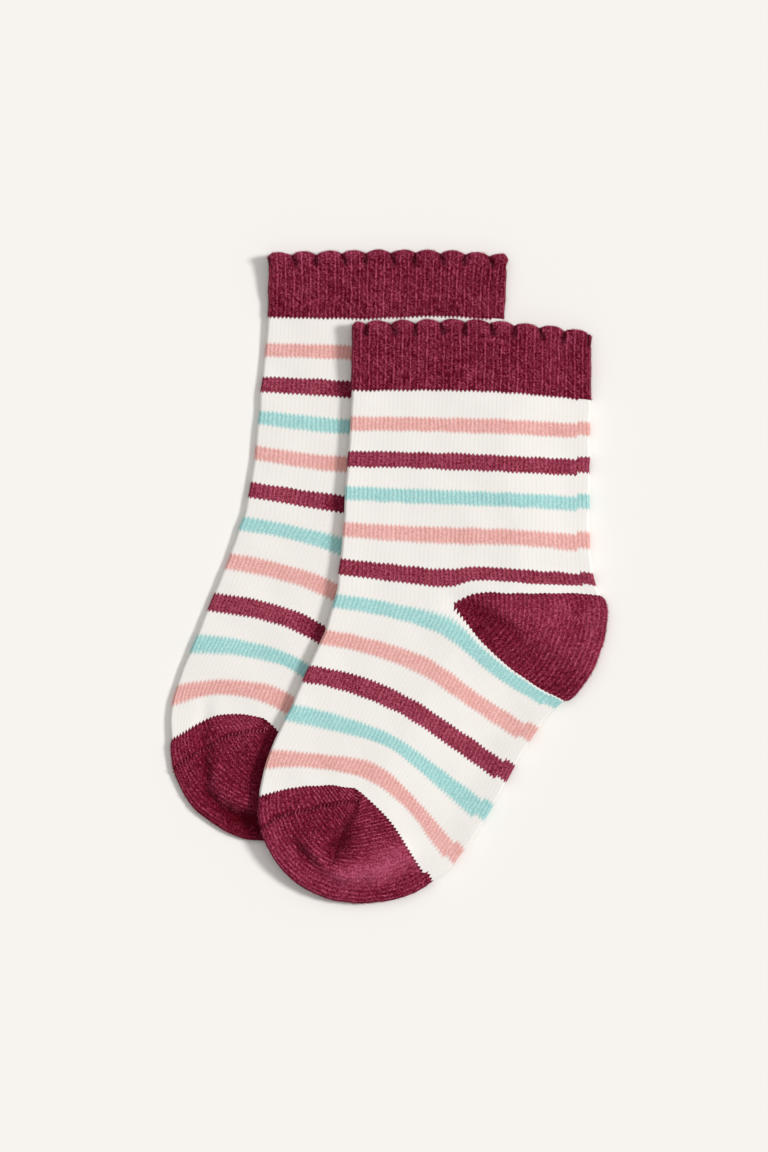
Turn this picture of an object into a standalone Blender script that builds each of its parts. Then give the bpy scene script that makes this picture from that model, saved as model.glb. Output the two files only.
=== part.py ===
"""Pair of small children's socks, laid flat, the front sock lying on the rear one.

Each sock is a knitted tube pressed flat: a top layer and a bottom layer that meet in a front fold, along
the instep, and a back fold, along the calf and the sole. A knitter counts round such a tube in wales (the
upright columns of stitches) and along it in courses (the rows), and so does this script. A place on a sock
is a course, a wale and a depth into the wall, and one function turns that into millimetres.

The heel and the toe are pouches knitted to and fro on some of the needles. Each opens from a point on the
side of the foot, the apex of its gore, and closes in a fold at its outline.

Frame: +X to the right and +Y towards the cuffs on the surface that the socks lie on, +Z up from it. The
origin is below the middle of the pair. Sizes in the tables are millimetres.
"""

import collections
import functools
import math

import bmesh
import bpy
import numpy as np

MM = 0.001

# Knitting: needles round the tube, and the courses at which the colours and stretches change.
ROUND = 120
ACROSS = ROUND // 2
SIDE_WALE = 27  # where the gores of heel and toe begin, counted from the front fold
SIDE = SIDE_WALE / ACROSS
WELT_COURSE = -27
CUFF_COURSE = 0
HEEL_COURSE = 73
TOE_COURSE = 140
COURSE_PITCH = 0.83

# How far the middle of the pair lies from the tables' own zero.
MIDDLE_X = -0.09
MIDDLE_Y = -0.44

# Cloth: the wall, the whole flattened tube, and the gaps that keep neighbours apart.
WALL = 1.1
FLAT = 3.4
FOLD_RADIUS = FLAT / 2
SEAM_GAP = 0.3
LIE_GAP = 0.3

# Cuff: one raised rib every second wale, and a scalloped welt with a lobe every sixth.
RIB_WALES = 2
RIB_HEIGHT = 0.4
LOBE_WALES = 6
FRONT_FIRST_VALLEY = 4.0
REAR_FIRST_VALLEY = 0.5
LOBE_HEIGHT = 1.5
LOBE_PUFF = 0.6
LOBE_ROUNDNESS = 0.6
WELT_DEPTH = 4.5

# Pouches: how far each outline stands out from the line between its ends, and how that swell is shared
# between its first and its last part.
Pouch = collections.namedtuple("Pouch", "depth first last")
HEEL_POUCH = Pouch(depth=5.4, first=0.5, last=0.5)
TOE_POUCH = Pouch(depth=18.5, first=0.7, last=0.8)
POUCH_START = 0.02
MOST_TRIM = 0.3

# Puff: the springy folds and the heel of the upper sock stand a little higher than its panels.
FRONT_PUFF = 0.5
PUFF_REACH = 6.0

# Drape: the upper sock comes down to the surface beside the lower one within this distance.
DRAPE_LEDGE = 1.5
DRAPE_FALL = 12.0

# The front sock, section by section. A section runs along a course from the front fold over the side line
# to the back fold. A bow is how far the middle of each half stands off its chord, towards the cuff, and
# corner says how sharply the section turns at the side line, from 0, smooth, to 1.
Section = collections.namedtuple(
    "Section", "course front_x front_y side_x side_y back_x back_y front_bow back_bow corner"
)
LEG = (
    Section(-27, -10.8, 76.1, 22.0, 76.7, 62.2, 73.1, 0.0, 0.5, 0.0),
    Section(0, -11.1, 56.6, 21.7, 56.6, 61.9, 53.5, 0.0, 0.5, 0.0),
    Section(10, -11.4, 48.2, 21.3, 47.8, 61.8, 45.8, 0.1, 0.3, 0.0),
    Section(23, -12.2, 37.7, 21.0, 37.1, 61.6, 35.2, 0.2, 0.0, 0.0),
    Section(36, -13.0, 27.0, 20.7, 25.6, 61.6, 23.6, 0.0, 0.2, 0.0),
    Section(49, -13.6, 16.3, 20.4, 14.5, 61.6, 12.0, -0.3, 0.5, 0.0),
    Section(62, -14.6, 5.2, 19.8, 1.7, 62.8, -0.2, -0.2, 1.5, 0.2),
    Section(73, -15.6, -4.0, 20.3, -9.6, 65.0, -6.4, 0.0, 2.9, 1.0),
)
FOOT = (
    Section(73, -15.6, -4.0, 20.3, -9.6, 54.0, -38.3, 0.0, -3.0, 1.0),
    Section(75, -16.0, -5.9, 18.5, -13.3, 53.2, -38.9, 1.0, -1.6, 0.3),
    Section(80, -17.2, -9.9, 15.9, -18.0, 50.3, -41.5, 1.3, -1.2, 0.0),
    Section(88, -19.1, -16.6, 12.2, -25.3, 45.4, -47.4, 1.1, -0.5, 0.0),
    Section(101, -24.1, -27.4, 6.1, -36.9, 38.4, -59.0, 1.6, 0.4, 0.0),
    Section(114, -29.2, -39.2, 0.9, -48.5, 31.7, -71.1, 0.9, 0.4, 0.0),
    Section(127, -35.8, -53.1, -4.3, -57.2, 22.9, -84.6, 0.7, 1.4, 0.0),
    Section(132, -37.7, -58.6, -6.7, -61.8, 19.5, -88.9, 1.7, 2.7, 0.3),
    Section(140, -39.2, -67.6, -10.2, -64.7, 12.5, -94.2, 1.8, 2.3, 1.0),
)

# How the rear sock's sections lie from the front sock's: up and to the left, its foot a little straighter.
Shift = collections.namedtuple("Shift", "course front_x front_y side_x side_y back_x back_y front_bow")
REAR_SHIFT = (
    Shift(-27, -25.8, 21.2, -25.6, 21.4, -25.6, 23.6, 0.0),
    Shift(0, -25.5, 22.4, -25.6, 22.0, -26.4, 24.7, 0.0),
    Shift(10, -25.9, 22.6, -25.6, 22.0, -26.2, 24.4, 0.0),
    Shift(62, -27.3, 23.5, -26.2, 22.0, -26.2, 22.9, 0.0),
    Shift(88, -29.0, 23.4, -28.7, 23.2, -28.1, 22.0, 0.0),
    Shift(101, -29.0, 22.3, -28.7, 23.5, -28.1, 21.3, 0.0),
    Shift(127, -28.7, 19.5, -28.7, 22.6, -28.1, 20.7, 1.5),
    Shift(140, -27.6, 17.7, -27.9, 21.0, -27.4, 19.8, 2.1),
)

# The crease that runs down the rear toe and round its tip.
Crease = collections.namedtuple("Crease", "x y depth")
REAR_CREASE = (
    Crease(-56.6, -48.3, 0.5),
    Crease(-54.9, -60.5, 1.0),
    Crease(-51.5, -69.1, 1.0),
    Crease(-40.6, -74.0, 0.4),
)
CREASE_WIDTH = 2.0

# Mesh: how finely each stretch is divided.
HALF_COLUMNS = (0.0, 0.16, 0.32, 0.48, 0.64, 0.8, 0.93, 0.965, 1.0)
CUFF_COURSES = (-27.0, -26.0, -24.0, -21.0, -14.0, -7.0, 0.0)
LEG_COURSES = (0.0, 10.0, 23.0, 36.0, 49.0, 62.0, 67.5, 73.0)
FOOT_COURSES = (73.0, 75.0, 80.0, 88.0, 94.5, 101.0, 107.5, 114.0, 120.5, 127.0, 132.0, 136.0, 140.0)
UNDER_COLUMN_STEP = 2
HEEL_ROWS = 9
TOE_ROWS = 15
LENGTH_SAMPLES = 24
OUTLINE_SAMPLES = 16

# Finish: base colours and roughness of the cotton yarns.
MAROON = (0.262, 0.022, 0.062)
WHITE = (0.86, 0.83, 0.79)
COTTON_ROUGHNESS = 0.9

Sock = collections.namedtuple("Sock", "name leg foot over puff creases first_valley")


def spline(table, place):
    """Smooth curve through a table's rows, column by column. The first column is the place along it."""
    table = np.asarray(table, float)
    places = table[:, 0]
    slopes = np.gradient(table, places, axis=0, edge_order=2)
    row = int(np.clip(np.searchsorted(places, place, side="right") - 1, 0, len(places) - 2))
    span = places[row + 1] - places[row]
    part = (place - places[row]) / span
    rest = 1 - part
    return (
        (1 + 2 * part) * rest**2 * table[row]
        + part * rest**2 * span * slopes[row]
        + part**2 * (3 - 2 * part) * table[row + 1]
        - part**2 * rest * span * slopes[row + 1]
    )


def ease(part):
    """Smooth step from 0 to 1."""
    part = min(max(part, 0.0), 1.0)
    return part * part * (3 - 2 * part)


def bowed_middle(start, end, bow):
    """Middle of a chord, moved bow to its left, which is towards the cuff."""
    along = (end - start) / np.linalg.norm(end - start)
    return (start + end) / 2 + bow * np.array((-along[1], along[0]))


@functools.lru_cache(maxsize=None)
def section_points(table, course):
    """The five points that a section runs through, as rows of fraction, x and y, and its corner."""
    section = Section(*spline(table, course))
    front = np.array((section.front_x, section.front_y))
    side = np.array((section.side_x, section.side_y))
    back = np.array((section.back_x, section.back_y))
    points = (
        (0.0, *front),
        (SIDE / 2, *bowed_middle(front, side, section.front_bow)),
        (SIDE, *side),
        ((1 + SIDE) / 2, *bowed_middle(side, back, section.back_bow)),
        (1.0, *back),
    )
    return points, section.corner


def on_section(points, corner, fraction):
    """Place on the surface at a fraction of the way from the front fold to the back fold."""
    smooth = spline(points, fraction)[1:]
    half = points[:3] if fraction <= SIDE else points[2:]
    return smooth + corner * (spline(half, fraction)[1:] - smooth)


@functools.lru_cache(maxsize=None)
def section_length(points, corner):
    walk = [on_section(points, corner, step / LENGTH_SAMPLES) for step in range(LENGTH_SAMPLES + 1)]
    return float(np.linalg.norm(np.diff(walk, axis=0), axis=1).sum())


def round_the_fold(run, depth):
    """How far in from the outline, and how far from mid height, a point lies after run of cloth."""
    bend = min(run / FOLD_RADIUS, math.pi / 2)
    inset = FOLD_RADIUS - (FOLD_RADIUS - depth) * math.cos(bend)
    return inset + max(run - FOLD_RADIUS * math.pi / 2, 0.0), (FOLD_RADIUS - depth) * math.sin(bend)


def tube_point(table, course, wale, depth):
    """Place, layer height and distance from the outline of a point of the tube."""
    points, corner = section_points(table, course)
    width = section_length(points, corner)
    half_round = width + (math.pi - 2) * FOLD_RADIUS
    run = half_round * min(wale, ROUND - wale) / ACROSS
    from_front = run <= half_round / 2
    inset, rise = round_the_fold(run if from_front else half_round - run, depth)
    x, y = on_section(points, corner, inset / width if from_front else 1 - inset / width)
    return x, y, FOLD_RADIUS + (rise if wale <= ACROSS else -rise), inset


def swell(pouch, start, end, turn, side):
    """Outline of a pouch from one end of its mouth to the other, as turn goes from 0 to 1."""
    part = (1 - math.cos(math.pi * turn)) / 2
    peak = pouch.first / (pouch.first + pouch.last)
    out = pouch.depth * (part / peak) ** pouch.first * ((1 - part) / (1 - peak)) ** pouch.last
    chord = (end - start) / np.linalg.norm(end - start)
    return start + part * (end - start) + side * out * np.array((-chord[1], chord[0]))


class Mouth:
    """The two lips that a pouch grows from. Each runs from the shared apex to the outline.

    Side is 1 where the pouch swells to the left of the way from the first lip to the last, and else -1.
    """

    def __init__(self, pouch, first_lip, last_lip, side):
        self.pouch = pouch
        self.first_lip = first_lip
        self.last_lip = last_lip
        self.side = side
        self.apex, self.first_end, self.last_end = first_lip(0.0), first_lip(1.0), last_lip(1.0)

    def outline(self, turn):
        return swell(self.pouch, self.first_end, self.last_end, turn, self.side)

    def spot(self, reach, turn):
        """Reach goes from 0 at the apex to 1 at the outline, and turn from one lip to the other."""
        straight = self.apex + reach * (self.outline(turn) - self.apex)
        first_bend = self.first_lip(reach) - self.apex - reach * (self.first_end - self.apex)
        last_bend = self.last_lip(reach) - self.apex - reach * (self.last_end - self.apex)
        return straight + (1 - turn) * first_bend + turn * last_bend

    def point(self, share, turn, under, depth):
        """Place, layer height and distance from the outline. Share is the part of the wales passed."""
        radius = float(np.linalg.norm(self.outline(turn) - self.apex))
        cloth = radius + (math.pi / 2 - 1) * FOLD_RADIUS
        inset, rise = round_the_fold(cloth * (1 - share), depth)
        x, y = self.spot(1 - inset / radius, turn)
        return x, y, FOLD_RADIUS + (-rise if under else rise), inset


def heel_mouth(sock):
    upper, upper_corner = section_points(sock.leg, HEEL_COURSE)
    lower, lower_corner = section_points(sock.foot, HEEL_COURSE)
    return Mouth(
        HEEL_POUCH,
        lambda reach: on_section(upper, upper_corner, SIDE + (1 - SIDE) * reach),
        lambda reach: on_section(lower, lower_corner, SIDE + (1 - SIDE) * reach),
        side=1,
    )


def toe_mouth(sock):
    edge, corner = section_points(sock.foot, TOE_COURSE)
    return Mouth(
        TOE_POUCH,
        lambda reach: on_section(edge, corner, SIDE - SIDE * reach),
        lambda reach: on_section(edge, corner, SIDE + (1 - SIDE) * reach),
        side=-1,
    )


def sock_outline(sock):
    """The sock's outline on the surface, once round."""
    def fold(table, start, end, left, right):
        courses = np.linspace(start, end, OUTLINE_SAMPLES)
        rows = [Section(*spline(table, course)) for course in courses]
        return [(getattr(row, left), getattr(row, right)) for row in rows]

    heel, toe = heel_mouth(sock), toe_mouth(sock)
    turns = np.linspace(0, 1, OUTLINE_SAMPLES)
    return np.array(
        fold(sock.leg, WELT_COURSE, HEEL_COURSE, "front_x", "front_y")
        + fold(sock.foot, HEEL_COURSE, TOE_COURSE, "front_x", "front_y")
        + [tuple(toe.outline(turn)) for turn in turns]
        + fold(sock.foot, TOE_COURSE, HEEL_COURSE, "back_x", "back_y")
        + [tuple(heel.outline(turn)) for turn in turns[::-1]]
        + fold(sock.leg, HEEL_COURSE, WELT_COURSE, "back_x", "back_y")
    )


def distance_outside(outline, x, y):
    """Distance from a closed outline, or 0 inside it."""
    spot = np.array((x, y))
    starts, ends = outline, np.roll(outline, -1, axis=0)
    runs = ends - starts
    lengths = np.maximum((runs**2).sum(axis=1), 1e-9)
    parts = np.clip(((spot - starts) * runs).sum(axis=1) / lengths, 0, 1)
    nearest = np.linalg.norm(starts + parts[:, None] * runs - spot, axis=1).min()
    spans = (starts[:, 1] > y) != (ends[:, 1] > y)
    crossings = starts[spans, 0] + (y - starts[spans, 1]) * runs[spans, 0] / runs[spans, 1]
    return 0.0 if (crossings > x).sum() % 2 else float(nearest)


def height_under(sock, x, y):
    """Height of what the sock lies on: the surface, or the sock below it."""
    if sock.over is None:
        return 0.0
    fall = (distance_outside(sock.over, x, y) - DRAPE_LEDGE) / DRAPE_FALL
    return (FLAT + LIE_GAP) * (1 - ease(fall))


def crease_depth(creases, x, y):
    """Depth of the nearest crease, whose trough has soft sides."""
    spot, deepest = np.array((x, y)), 0.0
    for start, end in zip(creases, creases[1:]):
        first, run = np.array(start[:2]), np.array(end[:2]) - np.array(start[:2])
        part = min(max(float((spot - first) @ run / (run @ run)), 0.0), 1.0)
        away = float(np.linalg.norm(spot - first - part * run)) / CREASE_WIDTH
        depth = start.depth + part * (end.depth - start.depth)
        deepest = max(deepest, depth * math.exp(-away * away))
    return deepest


def placed(sock, x, y, height, inset, raised=0.0):
    """A point of a sock, puffed, creased and draped over what lies below."""
    puff = sock.puff * math.exp(-((inset / PUFF_REACH) ** 2)) - crease_depth(sock.creases, x, y)
    lift = height_under(sock, x, y) + puff * height / FLAT + raised
    return x - MIDDLE_X, y - MIDDLE_Y, height + lift


def rib_height(wale):
    """Ribs stand on the upper layer. The lower one rests flat."""
    if not 0 < wale < ACROSS:
        return 0.0
    return RIB_HEIGHT * (1 - math.cos(2 * math.pi * wale / RIB_WALES)) / 2


def lobe(sock, wale):
    """Share of a lobe's height. The lobes of the two layers lie on each other."""
    phase = (min(wale, ROUND - wale) - sock.first_valley) / LOBE_WALES
    return abs(math.sin(math.pi * phase)) ** LOBE_ROUNDNESS


def cuff_point(sock, course, wale, depth):
    """A point of the cuff. Its welt is stretched up into lobes, which are padded outside."""
    stretch = ease(1 - (course - WELT_COURSE) * COURSE_PITCH / WELT_DEPTH) * lobe(sock, wale)
    pulled = round(course - stretch * LOBE_HEIGHT / COURSE_PITCH, 3)
    x, y, height, inset = tube_point(sock.leg, pulled, wale, depth)
    outside = depth == 0 and wale <= ACROSS
    padding = LOBE_PUFF * stretch + rib_height(wale) if outside else 0.0
    return placed(sock, x, y, height, inset, padding)


def tube_columns():
    """Wales at the columns of the tube: denser at the folds, and meeting those of the pouches."""
    front = [SIDE_WALE * (1 - part) for part in reversed(HALF_COLUMNS)]
    back = [SIDE_WALE + (ACROSS - SIDE_WALE) * part for part in HALF_COLUMNS[1:]]
    over = front + back
    return over + [ROUND - wale for wale in reversed(over[1:-1])]


def cuff_columns():
    """Every wale of the ribbed upper layer, and every few of the plain lower one."""
    return list(range(ACROSS + 1)) + list(range(ACROSS + UNDER_COLUMN_STEP, ROUND, UNDER_COLUMN_STEP))


def grid_faces(rows, wrap):
    """Quads between rows of point numbers."""
    faces = []
    for upper, lower in zip(rows, rows[1:]):
        for here in range(len(upper) if wrap else len(upper) - 1):
            there = (here + 1) % len(upper)
            faces.append((upper[here], lower[here], lower[there], upper[there]))
    return faces


def principled(name, colour):
    material = bpy.data.materials.new(name)
    material.use_nodes = True
    shader = material.node_tree.nodes["Principled BSDF"]
    shader.inputs["Base Color"].default_value = (*colour, 1.0)
    shader.inputs["Roughness"].default_value = COTTON_ROUGHNESS
    return material


def wall(name, outer, inner, faces, material, collection):
    """A closed solid from an outer sheet and a matching inner one, joined round every open edge."""
    count = len(outer)
    edges = {(face[i - 1], face[i]) for face in faces for i in range(len(face))}
    rims = [(b, a, a + count, b + count) for a, b in sorted(edges) if (b, a) not in edges]
    lining = [tuple(count + point for point in reversed(face)) for face in faces]
    mesh = bpy.data.meshes.new(name)
    mesh.from_pydata((np.array(outer + inner) * MM).tolist(), [], faces + lining + rims)
    shape = bmesh.new()
    shape.from_mesh(mesh)
    bmesh.ops.recalc_face_normals(shape, faces=shape.faces)
    shape.to_mesh(mesh)
    shape.free()
    mesh.materials.append(material)
    mesh.shade_smooth()
    mesh.set_sharp_from_angle(angle=math.radians(50))
    collection.objects.link(bpy.data.objects.new(name, mesh))


def build_cuff(sock, material, collection):
    columns = cuff_columns()
    gap = SEAM_GAP / 2 / COURSE_PITCH
    courses = [min(course, CUFF_COURSE - gap) for course in CUFF_COURSES]
    outer = [cuff_point(sock, course, wale, 0.0) for course in courses for wale in columns]
    inner = [cuff_point(sock, course, wale, WALL) for course in courses for wale in columns]
    rows = [range(start, start + len(columns)) for start in range(0, len(outer), len(columns))]
    wall(sock.name + "_cuff", outer, inner, grid_faces(rows, wrap=True), material, collection)


def build_leg_foot(sock, material, collection):
    """The striped tube. Above and below the heel's slit it shares the points of its front half."""
    columns = tube_columns()
    gap = SEAM_GAP / COURSE_PITCH
    heel_wales = [SIDE_WALE < wale < ROUND - SIDE_WALE for wale in columns]
    outer, inner, rows = [], [], []
    for table, courses in ((sock.leg, LEG_COURSES), (sock.foot, FOOT_COURSES)):
        for course in courses:
            row = []
            for column, wale in enumerate(columns):
                slit = course == HEEL_COURSE and heel_wales[column]
                if course == HEEL_COURSE and table is sock.foot and not slit:
                    row.append(rows[-1][column])
                    continue
                held = course
                if course == CUFF_COURSE:
                    held = course + gap / 2
                elif slit and table is sock.foot:
                    held = course + gap
                elif slit or course == TOE_COURSE:
                    held = course - gap
                for sheet, depth in ((outer, 0.0), (inner, WALL)):
                    sheet.append(placed(sock, *tube_point(table, held, wale, depth)))
                row.append(len(outer) - 1)
            rows.append(row)
    leg_rows, foot_rows = rows[: len(LEG_COURSES)], rows[len(LEG_COURSES) :]
    faces = grid_faces(leg_rows, wrap=True) + grid_faces(foot_rows, wrap=True)
    wall(sock.name + "_leg_foot", outer, inner, faces, material, collection)


def build_pouch(sock, stretch, mouth, turns, material, collection):
    """A heel or toe: the upper layer out to the outline, and the lower one back to the apex."""
    shares = [POUCH_START] + list(HALF_COLUMNS[1:])
    lines = [(share, False) for share in shares] + [(share, True) for share in reversed(shares[:-1])]
    outer, inner = [], []
    steps = [step / LENGTH_SAMPLES for step in range(LENGTH_SAMPLES + 1)]
    for share, under in lines:
        walk = [mouth.point(share, turn, False, 0.0)[:2] for turn in steps]
        path = float(np.linalg.norm(np.diff(walk, axis=0), axis=1).sum())
        trim = min(SEAM_GAP / 2 / path, MOST_TRIM)
        for row in range(turns):
            turn = trim + (1 - 2 * trim) * row / (turns - 1)
            for sheet, depth in ((outer, 0.0), (inner, WALL)):
                sheet.append(placed(sock, *mouth.point(share, turn, under, depth)))
    rows = [range(start, start + turns) for start in range(0, len(outer), turns)]
    wall(sock.name + stretch, outer, inner, grid_faces(rows, wrap=False), material, collection)


def shifted(table):
    """The sections of the rear sock, from those of the front sock."""
    moved = []
    for section in table:
        shift = Shift(*spline(REAR_SHIFT, section.course))
        changes = {name: getattr(section, name) + getattr(shift, name) for name in Shift._fields[1:]}
        moved.append(section._replace(**changes))
    return tuple(moved)


def build_pair():
    for leftover in list(bpy.data.objects):
        bpy.data.objects.remove(leftover)
    collection = bpy.data.collections.new("pair_of_socks")
    bpy.context.scene.collection.children.link(collection)
    maroon = principled("maroon_cotton", MAROON)
    striped = principled("striped_cotton", WHITE)
    rear = Sock("rear", shifted(LEG), shifted(FOOT), None, 0.0, REAR_CREASE, REAR_FIRST_VALLEY)
    front = Sock("front", LEG, FOOT, sock_outline(rear), FRONT_PUFF, (), FRONT_FIRST_VALLEY)
    for sock in (rear, front):
        build_cuff(sock, maroon, collection)
        build_leg_foot(sock, striped, collection)
        build_pouch(sock, "_heel", heel_mouth(sock), HEEL_ROWS, maroon, collection)
        build_pouch(sock, "_toe", toe_mouth(sock), TOE_ROWS, maroon, collection)


build_pair()
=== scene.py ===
# %% [markdown]
# # Two small striped socks, laid flat
#
# A sock is one knitted tube. Yarn goes round and round it in courses, and each needle of the machine draws
# one upright column of stitches, a wale. This file dresses the plain solids of a pair of such socks: it
# builds each stretch again as a thin shell whose mesh follows the wales and courses, so that ribs, stitches
# and stripes all fall where the needles would put them.
#
# We start with the solids. They give the frame: metres, +Z up from the surface that the socks lie on, and
# +Y from the toes towards the cuffs.

# %% Load the solids
import math

import bmesh
import bpy
import numpy as np
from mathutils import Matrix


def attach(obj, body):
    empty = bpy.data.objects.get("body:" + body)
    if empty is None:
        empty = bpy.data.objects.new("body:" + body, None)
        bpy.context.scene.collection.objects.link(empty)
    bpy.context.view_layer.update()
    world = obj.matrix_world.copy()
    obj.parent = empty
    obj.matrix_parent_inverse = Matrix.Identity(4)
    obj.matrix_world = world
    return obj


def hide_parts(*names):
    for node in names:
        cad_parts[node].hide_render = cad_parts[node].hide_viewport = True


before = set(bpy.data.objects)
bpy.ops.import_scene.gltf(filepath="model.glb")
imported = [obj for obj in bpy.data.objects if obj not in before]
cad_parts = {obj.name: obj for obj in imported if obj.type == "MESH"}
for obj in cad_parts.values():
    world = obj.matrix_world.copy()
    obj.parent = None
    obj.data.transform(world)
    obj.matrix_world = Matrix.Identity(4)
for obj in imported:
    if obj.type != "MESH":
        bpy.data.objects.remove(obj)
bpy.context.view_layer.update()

# %% [markdown]
# ## Camera, light and surface
#
# The pair is seen from straight above through a long lens, which keeps both socks at one scale. A long
# lens has to stand far back: the height of the view on the surface, divided by the sensor's height over
# the focal length, gives the distance.

# %% Camera
MM = 0.001
VIEW_HEIGHT = 351.4 * MM
VIEW_CENTRE = (-1.13 * MM, 0.29 * MM)
SEEN_LEVEL = 2.0 * MM
LENS = 120.0
SENSOR = 36.0

camera_data = bpy.data.cameras.new("camera")
camera_data.lens = LENS
camera_data.sensor_width = SENSOR
camera = bpy.data.objects.new("camera", camera_data)
camera.location = (*VIEW_CENTRE, SEEN_LEVEL + VIEW_HEIGHT * LENS / SENSOR)
bpy.context.scene.collection.objects.link(camera)
bpy.context.scene.camera = camera
print("camera height", round(camera.location.z, 3), "m")

# %% [markdown]
# A soft light stands half high on the right, a very wide one hangs high at the back, and the room is white.
# Sun lamps do the first two jobs evenly over the whole surface, because their angle sets how soft they
# are, and a plain world does the last.

# %% Light
KEY_AZIMUTH = math.radians(10)
KEY_ELEVATION = math.radians(42)
KEY_STRENGTH = 2.45
KEY_SOFTNESS = math.radians(13)
WIDE_STRENGTH = 0.91
WIDE_SOFTNESS = math.radians(80)
WIDE_ELEVATION = math.radians(68)
WIDE_AZIMUTH = math.radians(105)
ROOM_STRENGTH = 0.289
LAMP_COLOUR = (1.0, 0.99, 0.975)
ROOM_COLOUR = (1.0, 0.985, 0.965, 1.0)


def lamp(name, strength, softness, elevation, azimuth):
    """A sun lamp that stands this high above the surface, in this direction."""
    data = bpy.data.lights.new(name, "SUN")
    data.energy, data.angle, data.color = strength, softness, LAMP_COLOUR
    made = bpy.data.objects.new(name, data)
    made.rotation_euler = (0.0, math.pi / 2 - elevation, azimuth)
    bpy.context.scene.collection.objects.link(made)


lamp("key", KEY_STRENGTH, KEY_SOFTNESS, KEY_ELEVATION, KEY_AZIMUTH)
lamp("wide", WIDE_STRENGTH, WIDE_SOFTNESS, WIDE_ELEVATION, WIDE_AZIMUTH)
room = bpy.data.worlds.new("room")
room.use_nodes = True
room.node_tree.nodes["Background"].inputs["Color"].default_value = ROOM_COLOUR
room.node_tree.nodes["Background"].inputs["Strength"].default_value = ROOM_STRENGTH
bpy.context.scene.world = room
bpy.context.scene.view_settings.view_transform = "Standard"
print("key", KEY_STRENGTH, "wide", WIDE_STRENGTH, "room", ROOM_STRENGTH)

# %% [markdown]
# The socks lie on pale, matt paper. One flat face is enough for it. It is far larger than the view, so that
# its edge stays out of sight from low viewpoints too, and it lies a hair below the cloth, so that the two
# never share a plane.

# %% Surface
SURFACE_SIDE = 12.0
SURFACE_DROP = 0.05 * MM
SURFACE_COLOUR = (0.862, 0.846, 0.822, 1.0)

surface_mesh = bpy.data.meshes.new("surface")
half = SURFACE_SIDE / 2
surface_mesh.from_pydata(
    [(x, y, -SURFACE_DROP) for x, y in ((-half, -half), (half, -half), (half, half), (-half, half))],
    [],
    [(0, 1, 2, 3)],
)
surface_material = bpy.data.materials.new("pale_paper")
surface_material.use_nodes = True
surface_shader = surface_material.node_tree.nodes["Principled BSDF"]
surface_shader.inputs["Base Color"].default_value = SURFACE_COLOUR
surface_shader.inputs["Roughness"].default_value = 1.0
surface_shader.inputs["Specular IOR Level"].default_value = 0.0
surface_mesh.materials.append(surface_material)
surface = bpy.data.objects.new("surface", surface_mesh)
bpy.context.scene.collection.objects.link(surface)
print("surface", SURFACE_SIDE, "m square")

# %% [markdown]
# ## The knitting in numbers
#
# The machine has 120 needles, so each flattened sock shows 60 wales. Every place on a sock is named by its
# course, counted down from the bottom of the cuff, and by its wale, counted round from the front fold.
# The heel and the toe are pouches that open from a point on the side of the foot.

# %% Wales and courses
ROUND = 120
ACROSS = ROUND // 2
SIDE_WALE = 27
SIDE = SIDE_WALE / ACROSS
WELT_COURSE = -27
CUFF_COURSE = 0
HEEL_COURSE = 73
TOE_COURSE = 140
COURSE_PITCH = 0.83
WALE_PITCH = 1.22
# The middle of the pair, in the millimetres of the tables below
MIDDLE = np.array((-0.09, -0.44))
print("flat width", ACROSS * WALE_PITCH, "mm, leg", HEEL_COURSE * COURSE_PITCH, "mm")

# %% [markdown]
# The wall is about a millimetre thick, and the flattened tube three times that. Springy cloth doesn't
# crease sharply at its folds: it goes round them in a curve, which uses up a little more than two
# millimetres on each layer. Plain knitting lies thinner than ribs, so the sock thins below its cuff. The
# front sock stands up a little along its folds, and comes down to the surface beside the rear one over a
# couple of centimetres. All these are in millimetres, except the thinning, which is in courses.

# %% Walls, folds and drape
WALL = 1.1
FLAT = 3.4
FOLD_RADIUS = FLAT / 2
FOLD_REACH = 1.0
FOLD_QUARTER = 2.15
FOLD_FULLNESS = 0.7
REST_LEVEL = 3.0
THINNING = 40.0
FRONT_PUFF = 0.9
PUFF_REACH = 6.0
DRAPE_LEDGE = 0.5
DRAPE_FALL = 25.0
print("cloth in each fold", 2 * FOLD_QUARTER, "mm, drape over", DRAPE_FALL, "mm")

# %% [markdown]
# ## The form of the flat socks
#
# A few courses are enough to draw a sock. Each row of these tables says where a course starts at the front
# fold, where it passes the needle at the side of the foot and where it ends at the back fold. Then come the
# bows, which push the middle of each half out of line, and the sharpness of the corner at the side. The rear
# sock comes off the same machine, so it has the same sections, moved course by course. The outline could be
# drawn with curves too, but a table can be mended one number at a time, and it counts courses as a knitter
# does.

# %% Sections of the front sock, in millimetres
# course, front x y, side x y, back x y, bow of the front half, bow of the back half, corner at the side
LEG = np.array((
    (-27, -10.8, 76.1, 22.0, 76.7, 62.2, 73.1, 0.0, 0.5, 0.0),
    (0, -11.1, 56.6, 21.7, 56.6, 61.9, 53.5, 0.0, 0.5, 0.0),
    (10, -11.4, 48.2, 21.3, 47.8, 61.8, 45.8, 0.1, 0.3, 0.0),
    (23, -12.2, 37.7, 21.0, 37.1, 61.6, 35.2, 0.2, 0.0, 0.0),
    (36, -13.0, 27.0, 20.7, 25.6, 61.6, 23.6, 0.0, 0.2, 0.0),
    (49, -13.6, 16.3, 20.4, 14.5, 61.6, 12.0, -0.3, 0.5, 0.0),
    (62, -14.6, 5.2, 19.8, 1.7, 62.8, -0.2, -0.2, 1.5, 0.2),
    (73, -15.6, -4.0, 20.3, -9.6, 65.0, -6.4, 0.0, 2.9, 1.0),
))
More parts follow.
